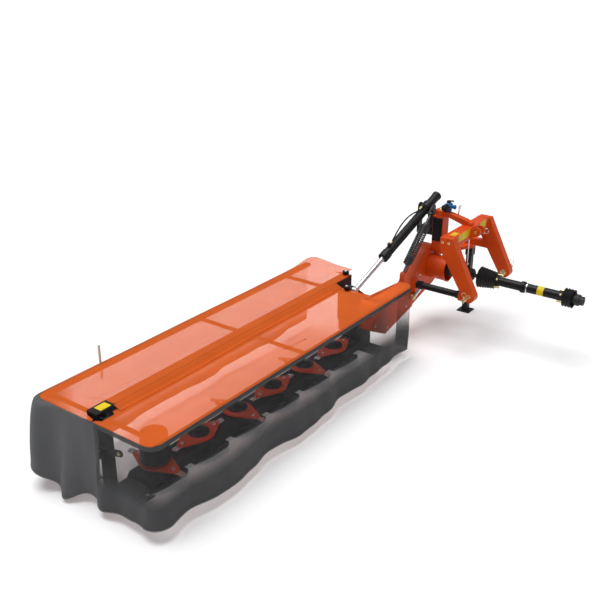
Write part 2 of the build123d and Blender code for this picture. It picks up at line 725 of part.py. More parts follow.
def lift_barrel():
    """The cylinder's barrel with its trunnion collar and hose ports, open at the rod's end."""
    back = COLLAR_POINT - CYLINDER_DIR * BARREL_BACK
    front = COLLAR_POINT + CYLINDER_DIR * BARREL_FRONT
    barrel = rod(back, front, BARREL_R)
    collar0 = COLLAR_POINT - CYLINDER_DIR * (COLLAR_L / 2)
    collar1 = COLLAR_POINT + CYLINDER_DIR * (COLLAR_L / 2)
    barrel += rod(collar0, collar1, COLLAR_R)
    reach = Vector(0, COLLAR_R + MOVING_GAP + TRUNNION_EAR_T, 0)
    barrel += rod(COLLAR_POINT - reach, COLLAR_POINT + reach, TRUNNION_R)
    port_h = HOSE_ABOVE + PORT_SIZE / 2
    for along in PORT_PLACES:
        middle = Plane(origin=by_barrel(along, port_h / 2), x_dir=CYLINDER_DIR, z_dir=CYLINDER_UP)
        barrel += middle * Box(PORT_SIZE, PORT_SIZE, port_h)
    inner = COLLAR_POINT - CYLINDER_DIR * (BARREL_BACK - BARREL_CAP)
    barrel -= rod(inner, front, BARREL_R - BARREL_WALL)
    mouth = front - CYLINDER_DIR * GLAND_L
    return barrel + pipe(mouth, front, BARREL_R, BARREL_R - ROD_R - PIN_GAP)


def lift_hose():
    """The hose between the barrel's two ports, its bends as wide as its runs allow."""
    points = [by_barrel(*place) for place in HOSE_ROUTE]
    radii = []
    for before, corner, after in zip(points, points[1:], points[2:]):
        into = corner - before
        out = after - corner
        half_turn = math.radians(into.get_angle(out) / 2)
        radii.append(BEND_SHARE * min(into.length, out.length) / math.tan(half_turn))
    line = FilletPolyline(*points, radius=radii)
    print("hose", round(line.length), "long, bends", [round(radius) for radius in radii])
    return sweep(Plane(origin=line @ 0, z_dir=line % 0) * Circle(HOSE_R), path=line)


def lift_rod():
    """The rod with its piston, eye and pin."""
    start = COLLAR_POINT + CYLINDER_DIR * (BARREL_FRONT - ROD_TAIL - ROD_INSIDE)
    piston = start + CYLINDER_DIR * PISTON_L
    shaft = rod(start, ROD_POINT, ROD_R)
    shaft += rod(start, piston, BARREL_R - BARREL_WALL - PIN_GAP)
    half = ROD_EYE_W / 2
    x, y, z = ROD_POINT
    shaft += rod((x, y - half, z), (x, y + half, z), ROD_EYE_R)
    lever_face = LEVER_Y - LEVER_T / 2
    return shaft + rod((x, y - half - ROD_PIN_HEAD, z), (x, lever_face - ROD_PIN_GAP, z), ROD_PIN_R)


def balance_spring():
    """The coil, drawn as a ribbed sleeve, between its upper tube and its lower hook."""
    top = Vector(*SPRING_TOP)
    along = (Vector(*SPRING_FOOT) - top).normalized()
    turns = int(SPRING_COIL / (2 * SPRING_WIRE))
    end = turns * 2 * SPRING_WIRE
    points = [(0, 0)]
    for turn in range(turns):
        base = turn * 2 * SPRING_WIRE
        points.append((SPRING_R - SPRING_WIRE / 2, base))
        points.append((SPRING_R, base + SPRING_WIRE))
    points += [(SPRING_R - SPRING_WIRE / 2, end), (0, end)]
    coil = revolve(Plane.XZ * polygon(*points), Axis.Z)
    spring = Plane(origin=top + along * SPRING_COIL_AT, z_dir=along) * coil
    spring += rod(top + along * SPRING_TUBE_AT, top + along * SPRING_COIL_AT, SPRING_TUBE_R)
    spring += rod(top, Vector(*SPRING_FOOT) - along * (LUG_W / 2), SPRING_ROD_R)
    x, y, z = SPRING_TOP
    spring += rod((x, y - SPRING_ROD_R, z), (x, y + SPRING_ROD_R, z), SPRING_EYE_R)
    return spring - rod((x, y - SPRING_ROD_R, z), (x, y + SPRING_ROD_R, z), SPRING_PEG_R + PIN_GAP)


def headstock_beam():
    """The cross beam with the top link's ears."""
    half = LEG_SPAN / 2 - LEG_W / 2
    beam = block(PTO_X - half, PTO_X + half, CROSS_Y0, CROSS_Y1, CROSS_Z0, CROSS_TOP)
    beam -= block(PTO_X - half, PTO_X + half, CROSS_Y0 + CROSS_WALL, CROSS_Y1 - CROSS_WALL,
                  CROSS_Z0 + CROSS_WALL, CROSS_TOP - CROSS_WALL)
    for side in (-1, 1):
        middle = PTO_X + side * (EAR_GAP + EAR_T) / 2
        low = middle - EAR_T / 2
        high = middle + EAR_T / 2
        outline = polygon((TOP_PIN_Y, TOP_PIN_Z - EAR_R), (CROSS_Y0, CROSS_Z0 + EAR_FOOT),
                          (CROSS_Y0, CROSS_TOP), (TOP_PIN_Y, TOP_PIN_Z + EAR_R))
        outline += Pos(TOP_PIN_Y, TOP_PIN_Z) * Circle(EAR_R)
        ear = end_slab(outline, low, high)
        beam += ear - rod((low, TOP_PIN_Y, TOP_PIN_Z), (high, TOP_PIN_Y, TOP_PIN_Z), TOP_PIN_R)
    return beam


def leg_rear(z):
    """How far back a leg reaches at a height, between its foot and the cross beam."""
    low_y = LOWER_PIN_Y + LEG_FOOT_Y
    low_z = LOWER_PIN_Z - LEG_FOOT_Z
    return low_y + (CROSS_Y1 - low_y) * (z - low_z) / (CROSS_Z0 - low_z)


def headstock_legs():
    """The two legs that slope forward to the lower pins, the near one with the latch rod's lug."""
    outline = polygon((LOWER_PIN_Y - LEG_FOOT_Y, LOWER_PIN_Z + LEG_FOOT_Z),
                      (LOWER_PIN_Y + LEG_FOOT_Y, LOWER_PIN_Z - LEG_FOOT_Z),
                      (CROSS_Y1, CROSS_Z0), (CROSS_Y1, CROSS_TOP), (CROSS_Y0 - LEG_TOP_STEP, CROSS_TOP))
    outline += Pos(LOWER_PIN_Y, LOWER_PIN_Z) * Circle(LEG_FOOT_R)
    latch_x = LEG_NEAR + LEG_W / 2
    reach = LATCH_R + LATCH_LUG
    lug = block(latch_x - LATCH_LUG_IN, latch_x + reach, LOWER_PIN_Y + LATCH_LUG_AT, LATCH_Y0,
                LATCH_Z - reach, LATCH_Z + reach)
    legs = []
    for x in (LEG_NEAR, LEG_FAR):
        leg = end_slab(outline, x - LEG_W / 2, x + LEG_W / 2)
        leg -= lower_pin_bar(x - LEG_W / 2, x + LEG_W / 2, LOWER_SHANK_R)
        if x == LEG_NEAR:
            leg += lug
        legs.append(leg.solid())
    return Compound(legs)


def lower_pin_bar(x0, x1, radius):
    return rod((x0, LOWER_PIN_Y, LOWER_PIN_Z), (x1, LOWER_PIN_Y, LOWER_PIN_Z), radius)


def lower_link_pins():
    """The stub pins for the lower links, each with its shank and nut in a leg."""
    pins = []
    for x, side in ((LEG_NEAR, -1), (LEG_FAR, 1)):
        outer_face = x + side * LEG_W / 2
        inner_face = x - side * LEG_W / 2
        pin = lower_pin_bar(outer_face, outer_face + side * LOWER_PIN_OUT, LOWER_PIN_R)
        pin += lower_pin_bar(outer_face, inner_face - side * LOWER_PIN_IN, LOWER_SHANK_R)
        pin += lower_pin_bar(inner_face, inner_face - side * LOWER_NUT_T, LOWER_NUT_R)
        pins.append(pin.solid())
    return Compound(pins)


def top_link_pin():
    """The top link's pin with its ring."""
    x0 = PTO_X - EAR_GAP / 2 - EAR_T - TOP_PIN_PAST
    pin = rod((x0, TOP_PIN_Y, TOP_PIN_Z), (x0 + TOP_PIN_L, TOP_PIN_Y, TOP_PIN_Z), TOP_PIN_R)
    ring_x = x0 + TOP_PIN_L - 2 * RING_WIRE
    ring = Pos(ring_x, TOP_PIN_Y, TOP_PIN_Z - RING_R) * Rot(0, 90, 0) * Torus(RING_R, RING_WIRE)
    return pin + ring


def swing_bracket():
    """The side member and the lower bearing plate that hold the king post's pin."""
    top = SIDE_Z0 + SIDE_H
    profile = polygon(
        (leg_rear(SIDE_Z0), SIDE_Z0), (SIDE_Y1, SIDE_Z0), (SIDE_Y1, top), (leg_rear(top), top))
    member = end_slab(profile, LEG_FAR - SIDE_W / 2, LEG_FAR + SIDE_W / 2)
    far_tip = (LEG_FAR + SIDE_W / 2 - PLATE_TIP_R, STAND_Y - PLATE_BACK, PLATE_TIP_R)
    outline = hull_of((KING_X, KING_Y, PLATE_TIP_R), far_tip)
    plate = Pos(0, 0, SIDE_Z0 - PLATE_T) * extrude(outline, amount=PLATE_T)
    plate -= rod((KING_X, KING_Y, SIDE_Z0 - PLATE_T), (KING_X, KING_Y, SIDE_Z0), KING_PIN_R + PIN_GAP)
    return member + plate


def upper_brace():
    """The brace from the cross beam up to the king post's upper bearing."""
    low = KING_Z1 + PIN_GAP
    ring = rod((KING_X, KING_Y, low), (KING_X, KING_Y, low + BEARING_H), BEARING_R)
    ring -= rod((KING_X, KING_Y, low), (KING_X, KING_Y, low + BEARING_H), KING_PIN_R + PIN_GAP)
    reach = KING_Y - BRACE_REACH
    post_front = KING_Y - math.hypot(KING_W / 2, KING_D + KING_Y - ARM_Y0) - MOVING_GAP
    foot = CROSS_Y0 + BRACE_INSET
    profile = polygon(
        (reach, low), (reach, low + BEARING_H), (CROSS_Y1 - BRACE_INSET, CROSS_TOP + BRACE_T),
        (foot, CROSS_TOP + BRACE_T / 2), (foot, CROSS_TOP), (CROSS_Y1, CROSS_TOP), (post_front, low))
    bar = end_slab(profile, KING_X - BRACE_W / 2, KING_X + BRACE_W / 2)
    return ring + bar


def breakaway_rod():
    """The latch rod from the near leg's lug to the catch on the arm."""
    x = LEG_NEAR + LEG_W / 2
    tip_y = ARM_Y0 - CATCH_T - PIN_GAP
    bar = rod((x, LATCH_Y0, LATCH_Z), (x, tip_y - LATCH_TIP_L, LATCH_Z), LATCH_R)
    bar += rod((x, LATCH_Y0, LATCH_Z), (x, tip_y, LATCH_Z), LATCH_TIP_R)
    return bar


def pto_hook():
    """The hanging hook for the shaft."""
    hook = rod((PTO_X, HOOK_Y, CROSS_Z0), (PTO_X, HOOK_Y, HOOK_BOTTOM), HOOK_R)
    toe_z = HOOK_BOTTOM + HOOK_R
    return hook + rod((PTO_X, HOOK_Y, toe_z), (PTO_X + HOOK_TOE, HOOK_Y, toe_z), HOOK_R)


def stand_sleeve():
    half = STAND_SIZE / 2 + STAND_GAP
    wall = half + SLEEVE_WALL
    x = LEG_FAR + SIDE_W / 2 + wall
    sleeve = block(x - wall, x + wall, STAND_Y - wall, STAND_Y + wall, SLEEVE_Z0, SIDE_Z0 + SIDE_H)
    return sleeve - block(x - half, x + half, STAND_Y - half, STAND_Y + half, SLEEVE_Z0, SIDE_Z0 + SIDE_H)


def parking_stand():
    """The square leg in its sleeve, with a foot on the ground."""
    half = STAND_SIZE / 2
    inner = half - STAND_WALL
    x = LEG_FAR + SIDE_W / 2 + half + STAND_GAP + SLEEVE_WALL
    leg = block(x - half, x + half, STAND_Y - half, STAND_Y + half, FOOT_T, STAND_TOP)
    leg -= block(x - inner, x + inner, STAND_Y - inner, STAND_Y + inner, FOOT_T, STAND_TOP - STAND_WALL)
    reach = FOOT_SIZE / 2
    return leg + block(x - reach, x + reach, STAND_Y - reach, STAND_Y + reach, 0, FOOT_T)


def along_shaft(y0, y1, radius):
    return rod((PTO_X, y0, PTO_Z), (PTO_X, y1, PTO_Z), radius)


def input_yoke():
    """The input stub, the overrun clutch and the rear joint's ball."""
    yoke = along_shaft(ARM_Y0 - PIN_GAP, HUB_Y0 - STUB_INSERT, STUB_R)
    yoke += along_shaft(HUB_Y0, HUB_Y0 - CLUTCH_L, CLUTCH_R)
    for forward in CLUTCH_RIM_AT:
        yoke += along_shaft(HUB_Y0 - forward, HUB_Y0 - forward - CLUTCH_RIM_L, CLUTCH_RIM_R)
    yoke += along_shaft(HUB_Y0 - CLUTCH_L, JOINT_Y, JOINT_NECK_R)
    return yoke + Pos(PTO_X, JOINT_Y, PTO_Z) * Sphere(BALL_R)


def drive_tube():
    """The shaft between the joints, with a socket round the rear ball."""
    tube = along_shaft(JOINT_Y, TUBE_END_Y - FRONT_BELL_L / 2, SHAFT_R)
    tube += along_shaft(JOINT_Y - SOCKET_LIP, JOINT_Y - BALL_R - SOCKET_FLOOR, BALL_R + SOCKET_WALL)
    tube -= Pos(PTO_X, JOINT_Y, PTO_Z) * Sphere(BALL_R + PIN_GAP)
    return tube - along_shaft(JOINT_Y, JOINT_Y - SOCKET_LIP, BALL_R + SOCKET_WALL)


def tractor_yoke():
    """The yoke that slides on the tractor's shaft, with its pull collar."""
    start = TUBE_END_Y - FRONT_BELL_L / 2
    yoke = along_shaft(start, FRONT_BELL_Y, YOKE_NECK_R)
    yoke += along_shaft(FRONT_BELL_Y, YOKE_Y0, YOKE_R)
    collar = FRONT_BELL_Y - YOKE_COLLAR_AT
    yoke += along_shaft(collar, collar - YOKE_COLLAR_L, YOKE_COLLAR_R)
    return yoke - along_shaft(YOKE_Y0 + YOKE_BORE_L, YOKE_Y0, STUB_R)


def shaft_shell(points):
    """A thin shell turned about the shaft's axis, from (distance forward, outer radius) pairs."""
    outer = [(radius, forward) for forward, radius in points]
    inner = [(radius - BELL_WALL, forward) for forward, radius in reversed(points)]
    solid = revolve(Plane.XZ * polygon(*outer, *inner), Axis.Z)
    return Plane(origin=(PTO_X, 0, PTO_Z), z_dir=(0, -1, 0)) * solid


def guard_bell_rear():
    """The bellows over the rear joint, which ends abruptly at its neck."""
    start = -BELL_Y0
    step = (BELL_L - BELL_FACE) / BELL_RIBS
    points = []
    for rib in range(BELL_RIBS):
        radius = BELL_R + (BELL_END_R - BELL_R) * rib / BELL_RIBS
        points.append((start + rib * step, radius))
        points.append((start + (rib + 1 / 2) * step, radius - BELL_GROOVE))
    points.append((start + BELL_L - BELL_FACE, BELL_END_R))
    points.append((start + BELL_L, BELL_NECK_R))
    return shaft_shell(points)


def guard_tube():
    """The guard's tube with its bearing ring."""
    start = -BELL_Y0 + BELL_L
    end = -TUBE_END_Y
    bore = SLEEVE_R - BELL_WALL
    ring0 = -RING_Y - RING_L / 2
    # rows: distance forward of the first end and of the last, outer radius, inner radius
    rows = (
        (start, end, SLEEVE_R, bore),
        (start, start + NECK_L, BELL_NECK_R, bore),
        (start + BUSH_AT, start + BUSH_AT + BUSH_L, SLEEVE_R, SHAFT_R + PIN_GAP),
        (ring0, ring0 + RING_L, SLEEVE_R + RING_STEP, bore))
    tube = Part()
    for first, last, outer, inner in rows:
        tube += pipe((PTO_X, -first, PTO_Z), (PTO_X, -last, PTO_Z), outer, outer - inner)
    return tube


def guard_bell_front():
    """The ribbed bell over the front joint."""
    end = -TUBE_END_Y
    step = (FRONT_BELL_L - BELL_FACE) / FRONT_BELL_RIBS
    points = [(end, SLEEVE_R)]
    for rib in range(FRONT_BELL_RIBS):
        points.append((end + BELL_FACE + rib * step, FRONT_BELL_R))
        points.append((end + BELL_FACE + (rib + 1 / 2) * step, FRONT_BELL_R - BELL_GROOVE))
    points.append((end + FRONT_BELL_L, FRONT_BELL_R))
    return shaft_shell(points)


def pieces():
    """Every node's name with its solid, in the layout frame."""
    named = {
        "cutterbar": cutterbar(), "skids": skids(), "gearbox": gearbox(), "carrier": carrier(),
        "inner_shoe": inner_shoe(), "outer_shoe": outer_shoe(), "outer_post": outer_post(),
        "outer_bracket": outer_bracket(), "lift_hose": lift_hose(),
        "main_beam": main_beam(), "rear_rail": rear_rail(), "rear_ribs": rear_ribs(),
        "canopy_rear": canopy_rear(), "skirt_rear": skirt_rear(), "swath_stick": swath_stick(),
        "front_frame": front_frame(), "canopy_front": canopy_front(), "skirt_front": skirt_front(),
        "belt_arm": belt_arm(), "spring_lug": spring_lug(), "input_guard": input_guard(),
        "king_post": king_post(), "trunnion_bracket": trunnion_bracket(), "lift_barrel": lift_barrel(),
        "lift_rod": lift_rod(), "balance_spring": balance_spring(), "headstock_beam": headstock_beam(),
        "headstock_legs": headstock_legs(), "lower_link_pins": lower_link_pins(),
        "top_link_pin": top_link_pin(), "swing_bracket": swing_bracket(), "upper_brace": upper_brace(),
        "breakaway_rod": breakaway_rod(), "pto_hook": pto_hook(), "stand_sleeve": stand_sleeve(),
        "parking_stand": parking_stand(), "input_yoke": input_yoke(), "drive_tube": drive_tube(),
        "tractor_yoke": tractor_yoke(), "guard_bell_rear": guard_bell_rear(), "guard_tube": guard_tube(),
        "guard_bell_front": guard_bell_front(), "outer_drum": outer_drum(),
    }
    for index in range(DISC_COUNT):
        number = index + 1
        named[f"disc_{number}"] = disc(index)
        named[f"knives_{number}"] = knives(index)
        if index > 0:
            named[f"cap_{number}"] = cap(index)
    return named


def main():
    os.makedirs("parts", exist_ok=True)
    place = Pos(-CENTRE_X, -CENTRE_Y, 0)
    for name, shape in pieces().items():
        export_step(place * shape, f"parts/{name}.step")


if __name__ == "__main__":
    main()
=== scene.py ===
"""The looks of a mounted disc mower: cloth guard, painted steel, spring, fittings and a white studio."""

import json
import math

import bmesh
import bpy
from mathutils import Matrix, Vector, noise


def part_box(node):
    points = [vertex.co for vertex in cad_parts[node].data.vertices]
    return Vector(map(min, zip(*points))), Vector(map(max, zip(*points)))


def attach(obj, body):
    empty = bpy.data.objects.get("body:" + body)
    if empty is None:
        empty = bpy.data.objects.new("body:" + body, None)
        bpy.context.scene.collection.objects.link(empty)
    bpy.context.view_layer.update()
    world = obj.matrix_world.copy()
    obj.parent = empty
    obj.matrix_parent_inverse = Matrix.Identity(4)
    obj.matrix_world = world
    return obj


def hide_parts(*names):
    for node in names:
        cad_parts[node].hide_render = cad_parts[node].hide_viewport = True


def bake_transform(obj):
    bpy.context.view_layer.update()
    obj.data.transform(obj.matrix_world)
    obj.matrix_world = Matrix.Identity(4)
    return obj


bl_info = {
    "name": "Disc Mower Finish",
    "version": (1, 0, 0),
    "blender": (4, 5, 0),
    "location": "View3D > Sidebar > Mower",
    "description": "Dresses the mower's frame with its cloth guard, paint, fittings and studio",
    "category": "Object",
}

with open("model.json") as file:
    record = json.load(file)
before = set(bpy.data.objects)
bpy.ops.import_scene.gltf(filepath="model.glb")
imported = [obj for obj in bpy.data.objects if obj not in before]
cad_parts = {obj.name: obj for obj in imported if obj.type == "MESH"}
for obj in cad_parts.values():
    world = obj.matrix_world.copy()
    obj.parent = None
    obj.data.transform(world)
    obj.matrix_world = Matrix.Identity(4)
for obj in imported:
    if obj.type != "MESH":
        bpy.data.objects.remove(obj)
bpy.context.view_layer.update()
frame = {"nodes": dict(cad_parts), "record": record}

# Directions: along the cutterbar to the headstock, to the rear, and up
INWARD = Vector((1, 0, 0))
TO_REAR = Vector((0, 1, 0))
UP = Vector((0, 0, 1))

# Material slots of the record, by short names
SLOT_ORANGE = "orange_paint"
SLOT_BLACK = "black_paint"
SLOT_PLASTIC = "black_plastic"
SLOT_STEEL = "bright_steel"
SLOT_ZINC = "zinc"
SLOT_CAST = "cast_dark"
SLOT_CANOPY = "canopy_fabric"
SLOT_SKIRT = "skirt_fabric"
SLOT_WOOD = "wood"

# The rear skirt's own finish, on the skirt's slot: the same cloth painted lighter, as painted light
REAR_SKIRT = "rear_skirt"

# The discs' numbers, from the outer end; the first carries the drum and the others a cap
DISCS = range(1, 7)


def numbered(name, numbers=DISCS):
    return [f"{name}_{number}" for number in numbers]


# Which finish each carried-over node takes
NODE_FINISH = {
    SLOT_ORANGE: ("belt_arm", "king_post", "headstock_beam", "headstock_legs", "swing_bracket",
                  "upper_brace", "input_guard", "spring_lug", *numbered("disc")),
    SLOT_BLACK: ("main_beam", "outer_post", "outer_bracket", "rear_rail", "rear_ribs", "front_frame",
                 "carrier", "lift_barrel", "breakaway_rod", "stand_sleeve", "parking_stand",
                 "trunnion_bracket", "cutterbar"),
    SLOT_PLASTIC: ("guard_bell_rear", "guard_tube", "guard_bell_front", "outer_drum",
                   *numbered("cap", DISCS[1:])),
    SLOT_STEEL: ("lift_rod", "pto_hook", "drive_tube", *numbered("knives")),
    SLOT_ZINC: ("lower_link_pins", "top_link_pin"),
    SLOT_CAST: ("gearbox", "skids", "inner_shoe", "outer_shoe", "tractor_yoke", "input_yoke"),
    SLOT_WOOD: ("swath_stick",),
}


class Sizes(bpy.types.PropertyGroup):
    """Sizes that a user may change."""

    cloth_thickness: bpy.props.FloatProperty(
        name="Cloth", description="Thickness of the guard's cloth", default=0.003, unit="LENGTH")
    cloth_step: bpy.props.FloatProperty(
        name="Cloth step", description="Spacing of the cloth's mesh", default=0.022, unit="LENGTH")
    canopy_sag: bpy.props.FloatProperty(
        name="Sag", description="How far the top hangs between the ribs", default=0.007, unit="LENGTH")
    hem_height: bpy.props.FloatProperty(
        name="Hem", description="Height of the skirt's hem above the ground", default=0.078, unit="LENGTH")
    fold_depth: bpy.props.FloatProperty(
        name="Folds", description="Depth of the skirt's hanging folds at the hem", default=0.017,
        unit="LENGTH")
    hem_band: bpy.props.FloatProperty(
        name="Hem band", description="Height of the seam above the skirt's hem", default=0.026,
        unit="LENGTH")
    stitch_pitch: bpy.props.FloatProperty(
        name="Stitch pitch", description="Distance from stitch to stitch", default=0.014, unit="LENGTH")
    spring_wire: bpy.props.FloatProperty(
        name="Spring wire", description="Radius of the balance spring's wire", default=0.0064,
        unit="LENGTH")
    spring_turns: bpy.props.IntProperty(
        name="Spring turns", description="Turns of the balance spring", default=20)
    corner_flare: bpy.props.FloatProperty(
        name="Corner flare", description="How far the skirt stands out at its rear corner's hem",
        default=0.047, unit="LENGTH")
    corner_lift: bpy.props.FloatProperty(
        name="Corner lift", description="How far the top's inner rear corner is pulled up", default=0.03,
        unit="LENGTH")
    bolt_size: bpy.props.FloatProperty(
        name="Bolts", description="Width of a usual bolt head across its flats", default=0.019,
        unit="LENGTH")


class Colours(bpy.types.PropertyGroup):
    """Colours that a user may change."""

    orange: bpy.props.FloatVectorProperty(
        name="Orange paint", description="Headstock, arm and discs", subtype="COLOR", size=3,
        default=(0.74, 0.077, 0.005))
    black: bpy.props.FloatVectorProperty(
        name="Black paint", description="Beam, posts and cylinder", subtype="COLOR", size=3,
        default=(0.012, 0.012, 0.0135))
    canopy: bpy.props.FloatVectorProperty(
        name="Canopy", description="Top cloth", subtype="COLOR", size=3, default=(0.95, 0.168, 0.020))
    skirt: bpy.props.FloatVectorProperty(
        name="Skirt", description="Hanging cloth", subtype="COLOR", size=3,
        default=(0.070, 0.070, 0.072))
    decal: bpy.props.FloatVectorProperty(
        name="Safety yellow", description="Plain safety strips", subtype="COLOR", size=3,
        default=(0.86, 0.52, 0.012))
    valve: bpy.props.FloatVectorProperty(
        name="Valve blue", description="Body of the lift valve", subtype="COLOR", size=3,
        default=(0.03, 0.16, 0.45))
    floor: bpy.props.FloatVectorProperty(
        name="Floor", description="Studio floor", subtype="COLOR", size=3, default=(0.86, 0.86, 0.87))


def sizes():
    return bpy.context.scene.mower_sizes


def colours():
    return bpy.context.scene.mower_colours


def rgba(colour, factor=1.0):
    """A colour for a shader socket, lighter or darker by a factor."""
    return (*[min(1.0, c * factor) for c in colour], 1.0)


# Materials. What a socket takes is a number, a colour or a (node, output) pair


class Nodes:
    """A new material with its shader, and the means to add nodes to it."""

    def __init__(self, name):
        self.material = bpy.data.materials.new(name)
        self.material.use_nodes = True
        self.tree = self.material.node_tree
        self.tree.nodes.clear()
        self.shader = self.add("ShaderNodeBsdfPrincipled")
        self.output = self.add("ShaderNodeOutputMaterial", {"Surface": (self.shader, "BSDF")})

    def add(self, kind, inputs=None, **settings):
        node = self.tree.nodes.new(kind)
        for key, value in settings.items():
            setattr(node, key, value)
        for socket, value in (inputs or {}).items():
            self.feed(node, socket, value)
        return node

    def feed(self, node, socket, value):
        """Links a socket to a (node, output) pair, or sets it."""
        if isinstance(value, tuple) and isinstance(value[0], bpy.types.Node):
            source, out = value
            self.tree.links.new(source.outputs[out], node.inputs[socket])
        else:
            node.inputs[socket].default_value = value

    def shade(self, inputs):
        """Feeds the shader and hands over the material."""
        for socket, value in inputs.items():
            self.feed(self.shader, socket, value)
        return self.material

    def here(self):
        return self.add("ShaderNodeTexCoord"), "Object"

    def stretched(self, scale):
        """The place on the object, stretched for a grain."""
        return self.add("ShaderNodeMapping", {"Vector": self.here(), "Scale": scale}), "Vector"

    def noise(self, scale, detail, roughness=0.55, where=None):
        inputs = {"Vector": where or self.here(), "Scale": scale, "Detail": detail, "Roughness": roughness}
        return self.add("ShaderNodeTexNoise", inputs), "Fac"

    def ramp(self, source, *stops):
        """A colour ramp through (position, colour) stops."""
        ramp = self.add("ShaderNodeValToRGB", {"Fac": source})
        elements = ramp.color_ramp.elements
        while len(elements) < len(stops):
            elements.new(0.5)
        for element, (position, colour) in zip(elements, stops):
            element.position = position
            element.color = colour
        return ramp, "Color"

    def span(self, source, start=(0.0, 1.0), end=(0.0, 1.0)):
        """Maps one range of values on to another."""
        inputs = {"Value": source, "From Min": start[0], "From Max": start[1],
                  "To Min": end[0], "To Max": end[1]}
        return self.add("ShaderNodeMapRange", inputs), "Result"

    def mix(self, factor, first, second):
        """Mixes two colours; the node's colour sockets go by number."""
        return self.add("ShaderNodeMix", {0: factor, 6: first, 7: second}, data_type="RGBA"), 2

    def math(self, operation, first, second):
        return self.add("ShaderNodeMath", {0: first, 1: second}, operation=operation), "Value"

    def bump(self, source, strength, distance, under=None):
        inputs = {"Height": source, "Strength": strength, "Distance": distance}
        if under:
            inputs["Normal"] = under
        return self.add("ShaderNodeBump", inputs), "Normal"

    def edges(self, radius):
        """A mask that is bright on sharp edges, with the rounded normal that shows it."""
        rounded = self.add("ShaderNodeBevel", {"Radius": radius}, samples=4), "Normal"
        plain = self.add("ShaderNodeNewGeometry"), "Normal"
        dot = self.add("ShaderNodeVectorMath", {0: rounded, 1: plain}, operation="DOT_PRODUCT"), "Value"
        return self.span(dot, (0.985, 0.80)), rounded


def made_once(build):
    """A finish that is built under its name the first time, and found by its name after that."""
    def find(name, *values, **more):
        return bpy.data.materials.get(name) or build(Nodes(name), *values, **more)
    return find


@made_once
def painted_steel(nodes, colour, roughness, worn, wear, shine=0.30):
    """Sprayed paint: faint orange peel, soft dust tone and edges rubbed to another tone."""
    tone = nodes.noise(scale=6.0, detail=6.0)
    base = nodes.ramp(tone, (0.3, rgba(colour, 0.86)), (0.75, rgba(colour, 1.06)))
    mask, rounded = nodes.edges(radius=0.003)
    chips = nodes.math("MULTIPLY", mask, nodes.noise(scale=90.0, detail=3.0))
    gloss = nodes.noise(scale=22.0, detail=4.0)
    peel = nodes.noise(scale=420.0, detail=2.0)
    return nodes.shade({
        "Base Color": nodes.mix(nodes.math("MULTIPLY", chips, wear), base, rgba(worn)),
        "Roughness": nodes.span(gloss, end=(roughness - 0.06, roughness + 0.10)),
        "Normal": nodes.bump(peel, strength=0.10, distance=0.0006, under=rounded),
        "Specular IOR Level": shine})


@made_once
def metal(nodes, dark, light, roughness, streak):
    """Bare or plated metal with a stretched grain and uneven shine."""
    grain = nodes.noise(38.0, 5.0, 0.6, nodes.stretched((1.0, 1.0, streak)))
    _, rounded = nodes.edges(radius=0.0015)
    return nodes.shade({
        "Base Color": nodes.ramp(grain, (0.3, rgba(dark)), (0.72, rgba(light))),
        "Roughness": nodes.span(grain, end=(roughness - 0.07, roughness + 0.12)),
        "Normal": nodes.bump(grain, strength=0.08, distance=0.0008, under=rounded),
        "Metallic": 1.0})


@made_once
def moulded_plastic(nodes, colour, roughness):
    """Moulded plastic or rubber with a fine matt grain."""
    tone = nodes.noise(scale=9.0, detail=5.0)
    grain = nodes.noise(scale=700.0, detail=2.0)
    _, rounded = nodes.edges(radius=0.002)
    return nodes.shade({
        "Base Color": nodes.ramp(tone, (0.3, rgba(colour, 0.75)), (0.75, rgba(colour, 1.5))),
        "Normal": nodes.bump(grain, strength=0.16, distance=0.0005, under=rounded),
        "Roughness": roughness,
        "Specular IOR Level": 0.28})


@made_once
def wood(nodes, dark, light):
    """Turned wood with a long grain."""
    grain = nodes.noise(9.0, 6.0, 0.6, nodes.stretched((14.0, 14.0, 1.2)))
    return nodes.shade({
        "Base Color": nodes.ramp(grain, (0.3, rgba(dark)), (0.7, rgba(light))),
        "Normal": nodes.bump(grain, strength=0.2, distance=0.001),
        "Roughness": 0.6})


@made_once
def coated_cloth(nodes, colour, tone_scale, clear_stops, end=None, lit_thinning=None):
    """Coated weave, see-through by height: clear_stops are (height in metres, how solid).

    end is (x, x, how solid): the cloth is at least that solid before the first x, fading by the second.
    lit_thinning is (x, x, share): from the first x to the second the cloth grows see-through to that share of
    its solidity, so that end reads lighter: painted light.
    """
    tone = nodes.noise(tone_scale, 6.0, 0.6)
    weave = nodes.add("ShaderNodeUVMap", uv_map="weave"), "UV"
    threads = []
    for direction in ("X", "Y"):
        inputs = {"Vector": weave, "Scale": 130.0, "Distortion": 0.6}
        threads.append((nodes.add("ShaderNodeTexWave", inputs, bands_direction=direction), "Fac"))
    crumple = nodes.bump(nodes.noise(7.0, 5.0, 0.6), strength=0.35, distance=0.012)
    place = nodes.add("ShaderNodeSeparateXYZ", {"Vector": nodes.here()})
    low, high = clear_stops[0][0], clear_stops[-1][0]
    stops = [((z - low) / (high - low), (share, share, share, 1.0)) for z, share in clear_stops]
    solid = nodes.ramp(nodes.span((place, "Z"), (low, high)), *stops)
    if end:
        solid = nodes.math("MAXIMUM", solid, nodes.span((place, "X"), end[:2], (end[2], 0.0)))
    # Painted light: the cloth grows see-through towards one end, so that end reads lighter, as if lit
    if lit_thinning:
        solid = nodes.math("MULTIPLY", solid, nodes.span((place, "X"), lit_thinning[:2], (1.0, lit_thinning[2])))
    return nodes.shade({
        "Base Color": nodes.ramp(tone, (0.28, rgba(colour, 0.90)), (0.74, rgba(colour, 1.10))),
        "Normal": nodes.bump(nodes.math("MULTIPLY", *threads), 0.10, 0.0006, crumple),
        "Alpha": solid,
        "Roughness": 0.58,
        "Specular IOR Level": 0.14,
        "Sheen Weight": 0.05})


